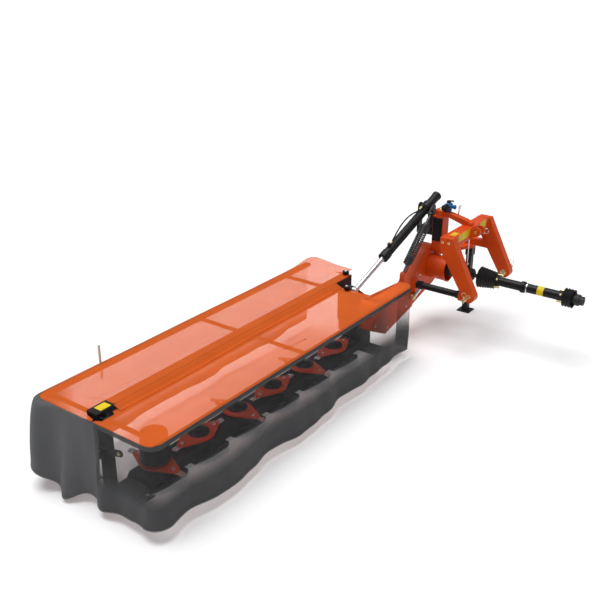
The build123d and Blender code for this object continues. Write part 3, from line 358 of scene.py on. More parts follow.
# How solid the cloths are at each height in metres. The skirts are closed at the hem and along their
# top band, and the rear one lets more light through between them
CANOPY_CLEAR = ((0.0, 0.50), (0.70, 0.50))
FRONT_CLEAR = ((0.0, 1.0), (0.20, 0.97), (0.31, 0.40), (0.40, 0.20), (0.582, 0.16), (0.592, 0.85),
               (0.66, 0.85))
REAR_CLEAR = ((0.0, 0.90), (0.11, 0.80), (0.21, 0.24), (0.590, 0.16), (0.600, 0.85), (0.66, 0.85))

# Where the skirts close at the outer end and the front one grows see-through at the inner end: two distances
# in metres from that end, and how solid. The front one's fade is painted light that makes its inner end read
# as lit from the front
FRONT_END = (0.03, 0.24, 0.26)
FRONT_LIT_THINNING = (-0.50, -0.02, 0.72)
REAR_END = (0.10, 0.34, 1.0)

# The cloths' uneven tone, in patches to the metre, and how much lighter the rear skirt is painted: painted
# light, the same cloth made lighter to stand in for light shining through it
CANOPY_PATCHES = 3.0
SKIRT_PATCHES = 2.2
REAR_PAINTED_LIGHT = 1.55

# Tones of the finishes that a user wouldn't change: base, or dark and light, and worn edges
PLASTIC_TONE = (0.007, 0.007, 0.0078)
STEEL_TONES = (0.66, 0.67, 0.69), (0.92, 0.93, 0.95)
ZINC_TONES = (0.72, 0.60, 0.28), (0.96, 0.84, 0.48)
CAST_TONE = (0.030, 0.030, 0.033)
WOOD_TONES = (0.76, 0.70, 0.56), (0.90, 0.86, 0.74)
# The spring's black is lighter than the black paint: painted light, so its turns read as lit
SPRING_LIT_TONE = (0.034, 0.034, 0.036)
THREAD_TONE = (0.10, 0.09, 0.085)
BINDING_TONE = (0.20, 0.20, 0.205)
WORN_ORANGE = (0.25, 0.10, 0.05)
WORN_BLACK = (0.16, 0.16, 0.17)
WORN_CAST = (0.20, 0.19, 0.18)


def from_end(x, fade):
    """A fade's two distances from an end as places."""
    return x + fade[0], x + fade[1], fade[2]


def finish(slot):
    """The material for one of the record's slots, or for the rear skirt."""
    c = colours()
    if slot == SLOT_ORANGE:
        return painted_steel("sprayed_orange", c.orange, roughness=0.36, worn=WORN_ORANGE, wear=0.55)
    if slot == SLOT_BLACK:
        return painted_steel("sprayed_black", c.black, roughness=0.40, worn=WORN_BLACK, wear=0.7)
    if slot == SLOT_CAST:
        return painted_steel("cast_iron", CAST_TONE, roughness=0.55, worn=WORN_CAST, wear=0.8)
    if slot == SLOT_PLASTIC:
        return moulded_plastic("moulded_black", PLASTIC_TONE, roughness=0.42)
    if slot == SLOT_STEEL:
        return metal("ground_steel", *STEEL_TONES, roughness=0.24, streak=0.2)
    if slot == SLOT_ZINC:
        return metal("yellow_zinc", *ZINC_TONES, roughness=0.34, streak=0.6)
    if slot == SLOT_WOOD:
        return wood("pale_wood", *WOOD_TONES)
    if slot == SLOT_CANOPY:
        return coated_cloth("canopy_cloth", c.canopy, CANOPY_PATCHES, CANOPY_CLEAR)
    low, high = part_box("skirt_front")
    if slot == SLOT_SKIRT:
        # The front skirt's inner end is painted light: its cloth fades to see-through there so it reads
        # lighter
        return coated_cloth("skirt_cloth", c.skirt, SKIRT_PATCHES, FRONT_CLEAR,
                            end=from_end(low.x, FRONT_END), lit_thinning=from_end(high.x, FRONT_LIT_THINNING))
    if slot == REAR_SKIRT:
        # Painted light: the rear skirt is the skirt cloth made lighter, standing in for light shining through
        # it
        lighter = [REAR_PAINTED_LIGHT * v for v in c.skirt]
        return coated_cloth("rear_skirt_cloth", lighter, SKIRT_PATCHES, REAR_CLEAR,
                            end=from_end(low.x, REAR_END))
    raise ValueError(f"no finish for the slot {slot}")


# Mesh building

# A bolt's washer and hexagon head: (height, radius) in shares of half its width across the flats
WASHER = ((0, 1.25), (0.16, 1.25), (0.20, 1.18))
BOLT_HEAD = ((0.20, 1.0), (0.70, 1.0), (0.82, 0.84))

# The least radius of a turned piece, and the angle in degrees from which an edge is sharp
POINT_R = 1e-5
SHARP_ANGLE = 35.0


def circle(middle, first, second, count, start=0.0):
    """Points round an oval with two half axes; start is in shares of a step."""
    angles = [2 * math.pi * (k + start) / count for k in range(count)]
    return [middle + first * math.cos(a) + second * math.sin(a) for a in angles]


class Shape:
    """Points and faces gathered for one mesh."""

    def __init__(self):
        self.points = []
        self.faces = []

    def rings(self, rings, closed=False):
        """Joins rings of equally many points into a skin with capped ends, or into a closed loop."""
        count = len(rings[0])
        base = len(self.points)
        faces = []
        for row in range(len(rings) if closed else len(rings) - 1):
            here, there = row * count, (row + 1) % len(rings) * count
            for i in range(count):
                j = (i + 1) % count
                faces.append((here + i, here + j, there + j, there + i))
        if not closed:
            faces.append(tuple(reversed(range(count))))
            faces.append(tuple(range((len(rings) - 1) * count, len(rings) * count)))
        self.points += [p for ring in rings for p in ring]
        self.faces += [[base + i for i in face] for face in faces]

    def sweep(self, path, radius, sides=12, closed=False):
        """A round bar along a path of points."""
        count = len(path)
        side = None
        rings = []
        for i, here in enumerate(path):
            before = path[i - 1] if i or closed else here
            after = path[(i + 1) % count] if i < count - 1 or closed else here
            along = (after - before).normalized()
            if side is None:
                side = along.orthogonal().normalized()
            side = (side - along * side.dot(along)).normalized()
            rings.append(circle(here, side * radius, along.cross(side) * radius, sides))
        self.rings(rings, closed)

    def lathe(self, start, axis, profile, sides=24):
        """A turned piece from (distance along, radius) pairs."""
        axis = Vector(axis).normalized()
        side = axis.orthogonal().normalized()
        up = axis.cross(side)
        rings = []
        for along, radius in profile:
            r = max(radius, POINT_R)
            rings.append(circle(Vector(start) + axis * along, side * r, up * r, sides))
        self.rings(rings)

    def bolt(self, seat, axis, across):
        """A washer and a chamfered hexagon head standing on a seat."""
        for profile, sides in ((WASHER, 20), (BOLT_HEAD, 6)):
            self.lathe(seat, axis, [(h * across / 2, r * across / 2) for h, r in profile], sides)

    def plate(self, corner, first, second, thickness):
        """A flat plate from a corner and two sides, thickened along its normal."""
        corner, first, second = Vector(corner), Vector(first), Vector(second)
        outline = [corner, corner + first, corner + first + second, corner + second]
        normal = first.cross(second).normalized() * thickness
        self.rings([outline, [p + normal for p in outline]])


def placed(name, data):
    """A new object in the scene."""
    item = bpy.data.objects.new(name, data)
    bpy.context.scene.collection.objects.link(item)
    return item


def dress(item, slot_or_material):
    """Gives a piece a slot's finish, or a material of its own."""
    item.data.materials.clear()
    if isinstance(slot_or_material, str):
        item.data.materials.append(finish(slot_or_material))
    else:
        item.data.materials.append(slot_or_material)


def piece(name, shape, slot_or_material, body, bevel=0.0):
    """Makes the mesh object for a shape, gives it its finish and lets it ride on a body."""
    mesh = bpy.data.meshes.new(name)
    mesh.from_pydata(shape.points, [], shape.faces)
    work = bmesh.new()
    work.from_mesh(mesh)
    bmesh.ops.remove_doubles(work, verts=work.verts, dist=1e-6)
    bmesh.ops.recalc_face_normals(work, faces=work.faces)
    work.to_mesh(mesh)
    work.free()
    mesh.shade_smooth()
    mesh.set_sharp_from_angle(angle=math.radians(SHARP_ANGLE))
    item = placed(name, mesh)
    if bevel:
        rounding = item.modifiers.new("edge", "BEVEL")
        rounding.width = bevel
        rounding.segments = 2
        rounding.limit_method = "ANGLE"
    dress(item, slot_or_material)
    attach(item, body)
    return item


def turned(name, slot_or_material, body, *parts, sides=24):
    """A piece of one or more (start, axis, profile) turned parts."""
    shape = Shape()
    for start, axis, profile in parts:
        shape.lathe(start, axis, profile, sides)
    return piece(name, shape, slot_or_material, body)


def bolts(name, slot, body, across, seats):
    """A piece of bolts on (seat, axis) places."""
    shape = Shape()
    for seat, axis in seats:
        shape.bolt(seat, axis, across)
    return piece(name, shape, slot, body)


def smoothstep(low, high, value):
    share = min(1.0, max(0.0, (value - low) / (high - low)))
    return share * share * (3 - 2 * share)


def grid_cloth(name, columns, rows, place, slot, body):
    """A sheet from place(column share, row share) on a grid, thickened, with a weave map in metres."""
    points = [[Vector(place(c / columns, r / rows)) for c in range(columns + 1)] for r in range(rows + 1)]
    work = bmesh.new()
    grid = [[work.verts.new(p) for p in row] for row in points]
    weave = work.loops.layers.uv.new("weave")
    along = [[0.0] for _ in points]
    for r, row in enumerate(points):
        for c in range(columns):
            along[r].append(along[r][-1] + (row[c + 1] - row[c]).length)
    down = [[0.0] * (columns + 1)]
    for r in range(rows):
        down.append([down[r][c] + (points[r + 1][c] - points[r][c]).length for c in range(columns + 1)])
    for r in range(rows):
        for c in range(columns):
            corners = ((r, c), (r, c + 1), (r + 1, c + 1), (r + 1, c))
            face = work.faces.new([grid[i][j] for i, j in corners])
            face.smooth = True
            for loop, (i, j) in zip(face.loops, corners):
                loop[weave].uv = (along[i][j], down[i][j])
    mesh = bpy.data.meshes.new(name)
    work.to_mesh(mesh)
    work.free()
    item = placed(name, mesh)
    thick = item.modifiers.new("thickness", "SOLIDIFY")
    thick.thickness = sizes().cloth_thickness
    thick.offset = 0.0
    dress(item, slot)
    if body:
        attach(item, body)
    area = sum(p.area for p in mesh.polygons)
    return item, area


# A stitch: its length in shares of the pitch, its lift in shares of the cloth and its thread's radius
STITCH_L = 0.6
STITCH_LIFT = 0.7
THREAD_R = 0.0011


def stitch(name, path, body):
    """A row of short stitches along a path."""
    shape = Shape()
    pitch = sizes().stitch_pitch
    travelled = 0.0
    for here, there in zip(path, path[1:]):
        run = (there - here).length
        while travelled < run:
            start = here.lerp(there, travelled / run)
            end = start + (there - here).normalized() * pitch * STITCH_L
            shape.sweep((start, end), THREAD_R, 5)
            travelled += pitch
        travelled -= run
    return piece(name, shape, moulded_plastic("thread", THREAD_TONE, roughness=0.7), body)


def stitch_lift():
    """How far the thread stands off the middle of the cloth."""
    return sizes().cloth_thickness * STITCH_LIFT


# The cloth guard: plan, folds and hems, all from the boxes of the plain guard nodes

# The plan: corner radius, the front sheet's cut-out and the bare outer end of the beam
CORNER_R = 0.07
NOTCH_PAST_RIB = 0.03
NOTCH_DEPTH = 0.14
BEAM_BARE = 0.13
RIB_APART = 0.1

# The top: its lift off the steel, its climb over the beam (from, to), the hinge flap's lap, and the
# cut round a hinge lug
CLOTH_LIFT = 0.0035
CLIMB = (0.09, 0.004)
FLAP_LAP = 0.040
FLAP_ROWS = 8
LUG_CUT = 0.034
LUG_HALF = 0.052

# How the top hangs: the bay that sags in full, the sag's power across, the ripple with its rates, and
# how far the pull at the corner reaches
FULL_BAY = 1.2
SAG_POWER = 0.7
RIPPLE = 0.0022
RIPPLE_RATES = (2.3, 3.1)
RIPPLE_LAYER = 0.4
LIFT_REACH = 0.2

# Where the top's seams run, in shares of each sheet's depth
FRONT_SEAM = 0.965
REAR_SEAM = 0.03


def rib_lines():
    """The x of each rib, from the rear ribs' own mesh."""
    lines = sorted(v.co.x for v in frame["nodes"]["rear_ribs"].data.vertices)
    groups = [[lines[0]]]
    for x in lines[1:]:
        if x - groups[-1][-1] > RIB_APART:
            groups.append([x])
        else:
            groups[-1].append(x)
    return [(group[0] + group[-1]) / 2 for group in groups]


class Guard:
    """Places on the guard, read from the frame."""

    def __init__(self):
        front_low, front_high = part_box("canopy_front")
        beam_low, beam_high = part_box("main_beam")
        self.x0, self.y0 = front_low.x, front_low.y
        self.x1, self.y1 = front_high.x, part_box("canopy_rear")[1].y
        self.top = front_high.z
        self.seam = front_high.y
        self.beam_rear = beam_high.y
        self.beam_front = beam_high.y - (beam_high.z - beam_low.z)
        self.beam_top = beam_high.z
        self.beam_x0, self.beam_x1 = beam_low.x, beam_high.x
        self.ribs = rib_lines()
        self.notch_x = self.ribs[-1] + NOTCH_PAST_RIB
        self.notch_y = self.y0 + NOTCH_DEPTH

    def height(self, x, y):
        """The top cloth's height: taut over ribs and rails, hanging a little between them."""
        stations = [self.x0, *self.ribs, self.x1]
        drop = 0.0
        for left, right in zip(stations, stations[1:]):
            if left <= x <= right:
                share = (x - left) / (right - left)
                drop = math.sin(math.pi * share) ** 2 * min(1.0, (right - left) / FULL_BAY)
        depth = min(1.0, max(0.0, (y - self.y0) / (self.y1 - self.y0)))
        across = math.sin(math.pi * depth) ** SAG_POWER
        spot = Vector((x * RIPPLE_RATES[0], y * RIPPLE_RATES[1], RIPPLE_LAYER))
        away = math.hypot(x - self.x1, y - self.y1)
        lift = sizes().corner_lift * math.exp(-(away / LIFT_REACH) ** 2)
        return self.top + lift - sizes().canopy_sag * drop * across + RIPPLE * noise.noise(spot)

    def over_beam(self, x):
        """True where the rear sheet runs over the main beam."""
        return self.beam_x0 + BEAM_BARE < x < self.beam_x1

    def edge_x(self, y, side):
        """The guard's end at a y, pulled in round its corners."""
        edge = self.x0 if side < 0 else self.x1
        short = CORNER_R - max(0.0, min(y - self.y0, self.y1 - y))
        if short <= 0:
            return edge
        return edge - side * (CORNER_R - math.sqrt(max(0.0, CORNER_R ** 2 - short ** 2)))


class MOWER_OT_canopy(bpy.types.Operator):
    """Makes the top cloth in its two halves, the flap over the hinge and the stitching along the edges."""

    bl_idname = "mower.canopy"
    bl_label = "Canopy cloth"

    def execute(self, context):
        guard = Guard()
        step = sizes().cloth_step
        width = guard.x1 - guard.x0
        columns = int(width / step)

        def rear_place(u, v):
            x = guard.x0 + u * width
            past_end = x < guard.beam_x0 - step or guard.over_beam(x)
            last = guard.beam_front if past_end else guard.beam_rear + CLOTH_LIFT
            y = guard.y1 - v * (guard.y1 - last)
            x = min(max(x, guard.edge_x(y, -1)), guard.edge_x(y, 1))
            z = guard.height(x, y)
            climb = smoothstep(guard.beam_rear + CLIMB[0], guard.beam_rear + CLIMB[1], y)
            ridge = guard.beam_top + CLOTH_LIFT if guard.over_beam(x) else z
            return x, y, z + climb * (ridge - z)

        def front_place(u, v):
            lug = min(abs(guard.x0 + u * (guard.notch_x - guard.x0) - rib) for rib in guard.ribs)
            back = guard.seam - LUG_CUT if lug < LUG_HALF else guard.seam
            y = back - v * (back - guard.y0)
            x0 = guard.edge_x(y, -1)
            x1 = guard.notch_x if y > guard.notch_y else guard.edge_x(y, 1)
            x = x0 + u * (x1 - x0)
            return x, y, guard.height(x, y)

        depth = guard.y1 - guard.beam_front
        rear, area = grid_cloth(
            "canopy_rear_cloth", columns, int(depth / step), rear_place, SLOT_CANOPY, "mower_unit")
        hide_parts("canopy_rear")
        depth = guard.seam - guard.y0
        front, area = grid_cloth(
            "canopy_front_cloth", columns, int(depth / step), front_place, SLOT_CANOPY, "front_guard")
        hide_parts("canopy_front")
        self.hinge_flap(guard, columns)
        seams = (("front_seam", front_place, FRONT_SEAM, "front_guard"),
                 ("rear_seam", rear_place, REAR_SEAM, "mower_unit"))
        for name, place, row, body in seams:
            path = [Vector(place(k / columns, row)) + UP * stitch_lift() for k in range(columns + 1)]
            stitch(name, path, body)
        return {"FINISHED"}

    def hinge_flap(self, guard, columns):
        """The strip of cloth that carries the top on from the beam over the lid's hinge."""
        x0, x1 = guard.beam_x0 + BEAM_BARE, guard.notch_x
        rear = Vector((0, guard.beam_front, guard.beam_top + CLOTH_LIFT))
        front = Vector((0, guard.seam - FLAP_LAP, guard.top + CLOTH_LIFT))

        def place(u, v):
            x = x0 + u * (x1 - x0)
            y = rear.y + v * (front.y - rear.y)
            fall = smoothstep(0.0, 1.0, v)
            return x, y, rear.z + fall * (guard.height(x, y) + CLOTH_LIFT - rear.z)

        flap, area = grid_cloth("hinge_flap_cloth", columns, FLAP_ROWS, place, SLOT_CANOPY, None)
        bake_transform(flap)


# The rear skirt runs on behind the front one at the outer end: how far, how far inside it, and over
# which distances from the lid's seam it goes there
SKIRT_LAP = 0.03
SKIRT_INSIDE = 0.010
TUCK = (0.10, 0.01)

# The skirts' top edge: how far it is under the top, and the spacing of its points
SKIRT_UNDER = 0.001
EDGE_STEP = 0.016
CORNER_STEPS = 12

# Small folds and the hem's rise and fall, as (size, rate, shift) of sine waves along the edge
FOLD_WAVES = ((0.60, 7.3, 0.4), (0.34, 15.1, 1.9), (0.30, 3.7, 2.6), (0.14, 29.0, 0.7))
HEM_WAVES = ((0.007, 3.3, 0.5), (0.005, 7.9, 0.0))
FOLD_SLANT = 1.3
FOLD_POWER = 1.3

# Wrinkles: how deep, their rates along and down, the layer of the noise, and how they open downwards
WRINKLE = 0.009
WRINKLE_RATES = (8.0, 1.7)
WRINKLE_LAYER = 3.1
WRINKLE_POWER = 0.5

# The hem's binding: its radius
BINDING_R = 0.004


class MOWER_OT_skirts(bpy.types.Operator):
    """Makes the hanging skirts with their folds, flared corners and bound hems."""

    bl_idname = "mower.skirts"
    bl_label = "Skirts"

    def execute(self, context):
        guard = Guard()
        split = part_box("skirt_front")[1].y
        hang_skirt("skirt_front_cloth", front_edge(guard, split, guard.notch_y), guard, guard.y0 - split, 1,
                   "skirt_front", "front_guard")
        lap = split - SKIRT_LAP
        inner_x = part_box("skirt_rear")[1].x
        rear = hang_skirt("skirt_rear_cloth", rear_edge(guard, lap, inner_x), guard, guard.y0 - lap, -1,
                          "skirt_rear", "mower_unit")
        # The rear skirt takes the lighter copy of the cloth: painted light
        rear.data.materials[0] = finish(REAR_SKIRT)
        return {"FINISHED"}


def corner_arc(x, y, start, turn):
    """Points and outward directions round a corner about a centre."""
    result = []
    for k in range(CORNER_STEPS + 1):
        angle = start + turn * k / CORNER_STEPS
        out = Vector((math.cos(angle), math.sin(angle), 0))
        result.append((Vector((x, y, 0)) + out * CORNER_R, out))
    return result


def straight(start, end, out):
    """Points and outward directions along a straight edge, without its last point."""
    start, end = Vector((*start, 0)), Vector((*end, 0))
    count = max(2, int((end - start).length / EDGE_STEP))
    return [(start.lerp(end, k / count), out) for k in range(count)]


def front_edge(guard, outer_y, inner_y):
    """The front skirt's top edge: outer end, outer corner, front, inner corner, inner return."""
    x0, x1 = guard.x0 + CORNER_R, guard.x1 - CORNER_R
    y0 = guard.y0 + CORNER_R
    edge = straight((guard.x0, outer_y), (guard.x0, y0), -INWARD)
    edge += corner_arc(x0, y0, math.pi, math.pi / 2)
    edge += straight((x0, guard.y0), (x1, guard.y0), -TO_REAR)[1:]
    edge += corner_arc(x1, y0, -math.pi / 2, math.pi / 2)
    edge += straight((guard.x1, y0), (guard.x1, inner_y), INWARD)[1:]
    edge.append((Vector((guard.x1, inner_y, 0)), INWARD))
    return edge


def rear_edge(guard, outer_y, inner_x):
    """The rear skirt's top edge: outer end, lapped behind the front skirt, rear corner and rear side."""
    x0, y1 = guard.x0 + CORNER_R, guard.y1 - CORNER_R
    edge = []
    for point, out in straight((guard.x0, outer_y), (guard.x0, y1), -INWARD):
        tucked = smoothstep(guard.seam + TUCK[0], guard.seam + TUCK[1], point.y)
        edge.append((point + INWARD * SKIRT_INSIDE * tucked, out))
    edge += corner_arc(x0, y1, math.pi, -math.pi / 2)
    edge += straight((x0, guard.y1), (inner_x, guard.y1), TO_REAR)[1:]
    edge.append((Vector((inner_x, guard.y1, 0)), TO_REAR))
    return edge


def waves(table, along):
    return sum(size * math.sin(along * rate + shift) for size, rate, shift in table)


def big_folds(guard):
    """The skirt's large folds: distance round the edge from the front outer corner, how far the hem
    stands out, half width, how far the hem rises there, and the power by which it opens downwards.
    Negative distances run to the rear.
    """
    rear = guard.y0 - guard.y1
    return ((rear - 0.06, sizes().corner_flare, 0.12, 0.085, 0.28),
            (rear + 0.06, 0.072, 0.09, 0.030, 0.28),
            (rear + 0.27, 0.080, 0.075, -0.046, 1.1),
            (-0.43, 0.060, 0.080, -0.016, 1.4),
            (0.0, 0.048, 0.19, 0.014, 1.2),
            (0.56, 0.056, 0.30, -0.002, 1.2),
            (1.35, 0.034, 0.45, 0.0, 1.2))


def hang_skirt(name, edge, guard, start, way, node, body):
    """Hangs a skirt from its top edge, which starts at a distance from the front corner and runs one way."""
    along = [0.0]
    for (here, _), (there, _) in zip(edge, edge[1:]):
        along.append(along[-1] + (there - here).length)
    top = guard.top - SKIRT_UNDER
    hem = sizes().hem_height
    rows = int((top - hem) / sizes().cloth_step)
    columns = len(edge) - 1
    folds = big_folds(guard)

    def place(u, v):
        index = u * columns
        i = min(int(index), columns - 1)
        part = index - i
        point = edge[i][0].lerp(edge[i + 1][0], part)
        out = edge[i][1].lerp(edge[i + 1][1], part).normalized()
        run = start + way * (along[i] + part * (along[i + 1] - along[i]))
        swing = sizes().fold_depth * waves(FOLD_WAVES, point.x - FOLD_SLANT * point.y) * v ** FOLD_POWER
        spot = Vector((run * WRINKLE_RATES[0], v * WRINKLE_RATES[1], WRINKLE_LAYER))
        swing += WRINKLE * noise.noise(spot) * v ** WRINKLE_POWER
        low = hem + waves(HEM_WAVES, run)
        for centre, stand, width, rise, power in folds:
            share = math.exp(-((run - centre) / width) ** 2)
            swing += stand * share * v ** power
            low += rise * share
        return Vector((point.x + out.x * swing, point.y + out.y * swing, top + (low - top) * v))

    cloth, area = grid_cloth(name, columns, rows, place, SLOT_SKIRT, body)
    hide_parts(node)
    shape = Shape()
    shape.sweep([place(i / columns, 1.0) for i in range(columns + 1)], BINDING_R, 8)
    bound = piece(name + "_hem", shape, moulded_plastic("hem_binding", BINDING_TONE, roughness=0.6), body)
    seam_row = 1.0 - sizes().hem_band / (top - hem)
    seam = [place(i / columns, seam_row) + out * stitch_lift() for i, (_, out) in enumerate(edge)]
    sewn = stitch(name + "_stitch", seam, body)
    return cloth


class MOWER_OT_paint(bpy.types.Operator):
    """Gives every carried-over node its finish."""

    bl_idname = "mower.paint"
    bl_label = "Paint the frame"

    def execute(self, context):
        for slot, names in NODE_FINISH.items():
            for name in names:
                mesh = frame["nodes"][name].data
                mesh.materials.clear()
                mesh.materials.append(finish(slot))
                mesh.shade_smooth()
                mesh.set_sharp_from_angle(angle=math.radians(SHARP_ANGLE))
        return {"FINISHED"}


def joint_facts(name):
    """A joint's place and axis, from the record."""
    for joint in frame["record"]["behaviour"]["joints"]:
        if joint["name"] == name:
            return Vector(joint.get("pos_m", (0, 0, 0))), Vector(joint["axis"])
    raise ValueError(f"no joint {name}")


def cylinder_line():
    """The lift cylinder's collar, and the way from its head to its mouth."""
    return joint_facts("lift_swing")[0], -joint_facts("lift_extend")[1].normalized()


# The balance spring: radii, and places along it from its upper eye
SPRING_EYE_R = 0.017
SPRING_ROD_R = 0.008
SPRING_TUBE_R = 0.015
SPRING_COIL_R = 0.040
SPRING_TUBE_AT = 0.048
SPRING_COIL_AT = 0.104
SPRING_COIL_L = 0.396
COIL_STEPS = 18

# Its end plugs: how far they reach into the coil and stand out of it, and their slope; where the tube
# begins to widen before the coil, and the rod's collar in shares of its radius
PLUG_L = 0.05
PLUG_PROUD = 0.004
PLUG_SLOPE = 0.01
TUBE_SLOPE = 0.012
ROD_COLLAR = 1.3

# Its hook: half length and half width, how far past the coil in half lengths, and its wire's share
SPRING_HOOK = (0.040, 0.022)
HOOK_PAST = 0.8
HOOK_WIRE = 0.8


class MOWER_OT_spring(bpy.types.Operator):
    """Winds the balance spring with its upper tube, end plugs, hook and lower rod."""

    bl_idname = "mower.spring"
    bl_label = "Balance spring"

    def execute(self, context):
        low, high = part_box("balance_spring")
        y = (low.y + high.y) / 2
        eye = Vector((high.x - SPRING_EYE_R, y, high.z - SPRING_EYE_R))
        slope = Vector((low.x - eye.x, 0, low.z - eye.z)).normalized()
        foot = Vector((low.x, y, low.z)) + Vector((abs(slope.z), 0, abs(slope.x))) * SPRING_ROD_R
        axis = (foot - eye).normalized()
        up = axis.cross(TO_REAR)
        wire = sizes().spring_wire
        mean = SPRING_COIL_R - wire
        steps = sizes().spring_turns * COIL_STEPS
        coil = []
        for k in range(steps + 1):
            angle = 2 * math.pi * k / COIL_STEPS
            along = SPRING_COIL_AT + wire + (SPRING_COIL_L - 2 * wire) * k / steps
            coil.append(eye + axis * along + (TO_REAR * math.cos(angle) + up * math.sin(angle)) * mean)
        shape = Shape()
        shape.sweep(coil, wire, 9)
        core = mean - wire
        end = SPRING_COIL_AT + SPRING_COIL_L
        shape.lathe(eye, axis, (
            (SPRING_EYE_R, SPRING_ROD_R), (SPRING_TUBE_AT, SPRING_ROD_R), (SPRING_TUBE_AT, SPRING_TUBE_R),
            (SPRING_COIL_AT - TUBE_SLOPE, SPRING_TUBE_R), (SPRING_COIL_AT - PLUG_PROUD, core),
            (SPRING_COIL_AT + PLUG_L, core), (SPRING_COIL_AT + PLUG_L + PLUG_SLOPE, SPRING_ROD_R),
            (end - PLUG_L - PLUG_SLOPE, SPRING_ROD_R), (end - PLUG_L, core), (end + PLUG_PROUD, core),
            (end + PLUG_PROUD + PLUG_SLOPE, SPRING_ROD_R * ROD_COLLAR), ((foot - eye).length, SPRING_ROD_R)))
        shape.lathe(eye - TO_REAR * SPRING_ROD_R, TO_REAR, (
            (0, SPRING_EYE_R * 0.5), (0, SPRING_EYE_R), (2 * SPRING_ROD_R, SPRING_EYE_R),
            (2 * SPRING_ROD_R, SPRING_EYE_R * 0.5)))
        middle = eye + axis * (end + SPRING_HOOK[0] * HOOK_PAST) + up * SPRING_HOOK[1]
        hook = circle(middle, axis * SPRING_HOOK[0], up * SPRING_HOOK[1], 24)
        shape.sweep(hook, wire * HOOK_WIRE, 8, closed=True)
        item = piece("balance_spring_coil", shape, SLOT_BLACK, "arm")
        # Painted light: the spring takes a lighter black than the paint elsewhere, so its turns read as lit
        item.data.materials[0] = painted_steel(
            "spring_black", SPRING_LIT_TONE, roughness=0.30, worn=WORN_BLACK, wear=0.5, shine=0.7)
        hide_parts("balance_spring")
        return {"FINISHED"}


# The hose's route: metres along the barrel from its collar, and above its axis
HOSE_ROUTE = ((0.072, 0.054), (0.125, 0.054), (0.190, 0.084), (0.280, 0.108), (0.375, 0.106),
              (0.460, 0.082), (0.522, 0.054), (0.563, 0.054))
HOSE_R = 0.006

# A crimped end, as (distance along, radius in shares of the hose's)
HOSE_CRIMP = ((0, 1.9), (0.010, 1.9), (0.010, 1.45), (0.030, 1.45), (0.032, 1.1))


class MOWER_OT_hose(bpy.types.Operator):
    """Lays the cylinder's hose between its two ports, with its crimped ends."""

    bl_idname = "mower.hose"
    bl_label = "Hose"

    def execute(self, context):
        collar, along = cylinder_line()
        up = along.cross(-TO_REAR).normalized()
        points = [collar + along * a + up * h for a, h in HOSE_ROUTE]
        curve = bpy.data.curves.new("lift_hose_line", "CURVE")
        curve.dimensions = "3D"
        curve.bevel_depth = HOSE_R
        curve.bevel_resolution = 4
        curve.use_fill_caps = True
        spline = curve.splines.new("NURBS")
        spline.points.add(len(points) - 1)
        for place, point in zip(spline.points, points):
            place.co = (*point, 1.0)
        spline.order_u = 3
        spline.use_endpoint_u = True
        hose = placed("lift_hose_line", curve)
        dress(hose, SLOT_PLASTIC)
        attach(hose, "lift_barrel")
        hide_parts("lift_hose")
        crimp = [(a, share * HOSE_R) for a, share in HOSE_CRIMP]
        ends = turned("hose_crimps", SLOT_ZINC, "lift_barrel",
                      (points[0], along, crimp), (points[-1], -along, crimp))
        return {"FINISHED"}


# Bolt widths, in shares of the usual one
KNIFE_BOLT = 1.25
SMALL_BOLT = 0.8
LEG_BOLT = 1.1
KING_NUT = 2.2
FOLD_NUT = 2.8

# On a disc: the plate's upper side, the knife bolts, the drum's ring of bolts, and a cap's plug with how
# far it is sunk
DISC_PLATE_TOP = 0.0145
KNIFE_BOLT_AT = 0.150
DRUM_RING_R = 0.062
CAP_PLUG = ((0, 0.026), (0.006, 0.026), (0.009, 0.022), (0.011, 0.0))
PLUG_SUNK = 0.004

# On the arm, as (x, z) from the fold pivot; on the outer stay, as its face's inset and (y from the
# beam's rear, height); on the gearbox's lid, as insets along and across
ARM_BOLTS = ((-0.13, 0.07), (0.10, 0.055), (0.33, 0.03), (0.06, -0.20), (0.36, -0.12), (-0.13, -0.12),
             (0.58, 0.10), (0.62, -0.02))
STAY_FACE = 0.003
STAY_BOLTS = ((-0.080, 0.400), (-0.258, 0.443))
LID_INSET = (0.03, 0.018)
LID_BOLTS = 4

# The headstock's cross beam: depth and height, and the bolts through a leg's head from its middle
CROSS_DEPTH = 0.100
CROSS_H = 0.095
LEG_BOLTS = (-0.028, 0.028)

# A linch pin: its inset from the link pin's end, its stem above and below, its ring's half axes and
# offset, and the radii of stem and ring
LINCH_INSET = 0.012
LINCH_STEM = (0.030, 0.024)
LINCH_RING = (0.018, 0.020)
LINCH_OFFSET = 0.002
LINCH_R = (0.0042, 0.0022)

# The top pin's grip: its stem and the ring that hangs from it
PIN_GRIP_L = 0.075
PIN_GRIP_R = 0.006
PIN_RING_R = 0.022
PIN_RING_WIRE = 0.003


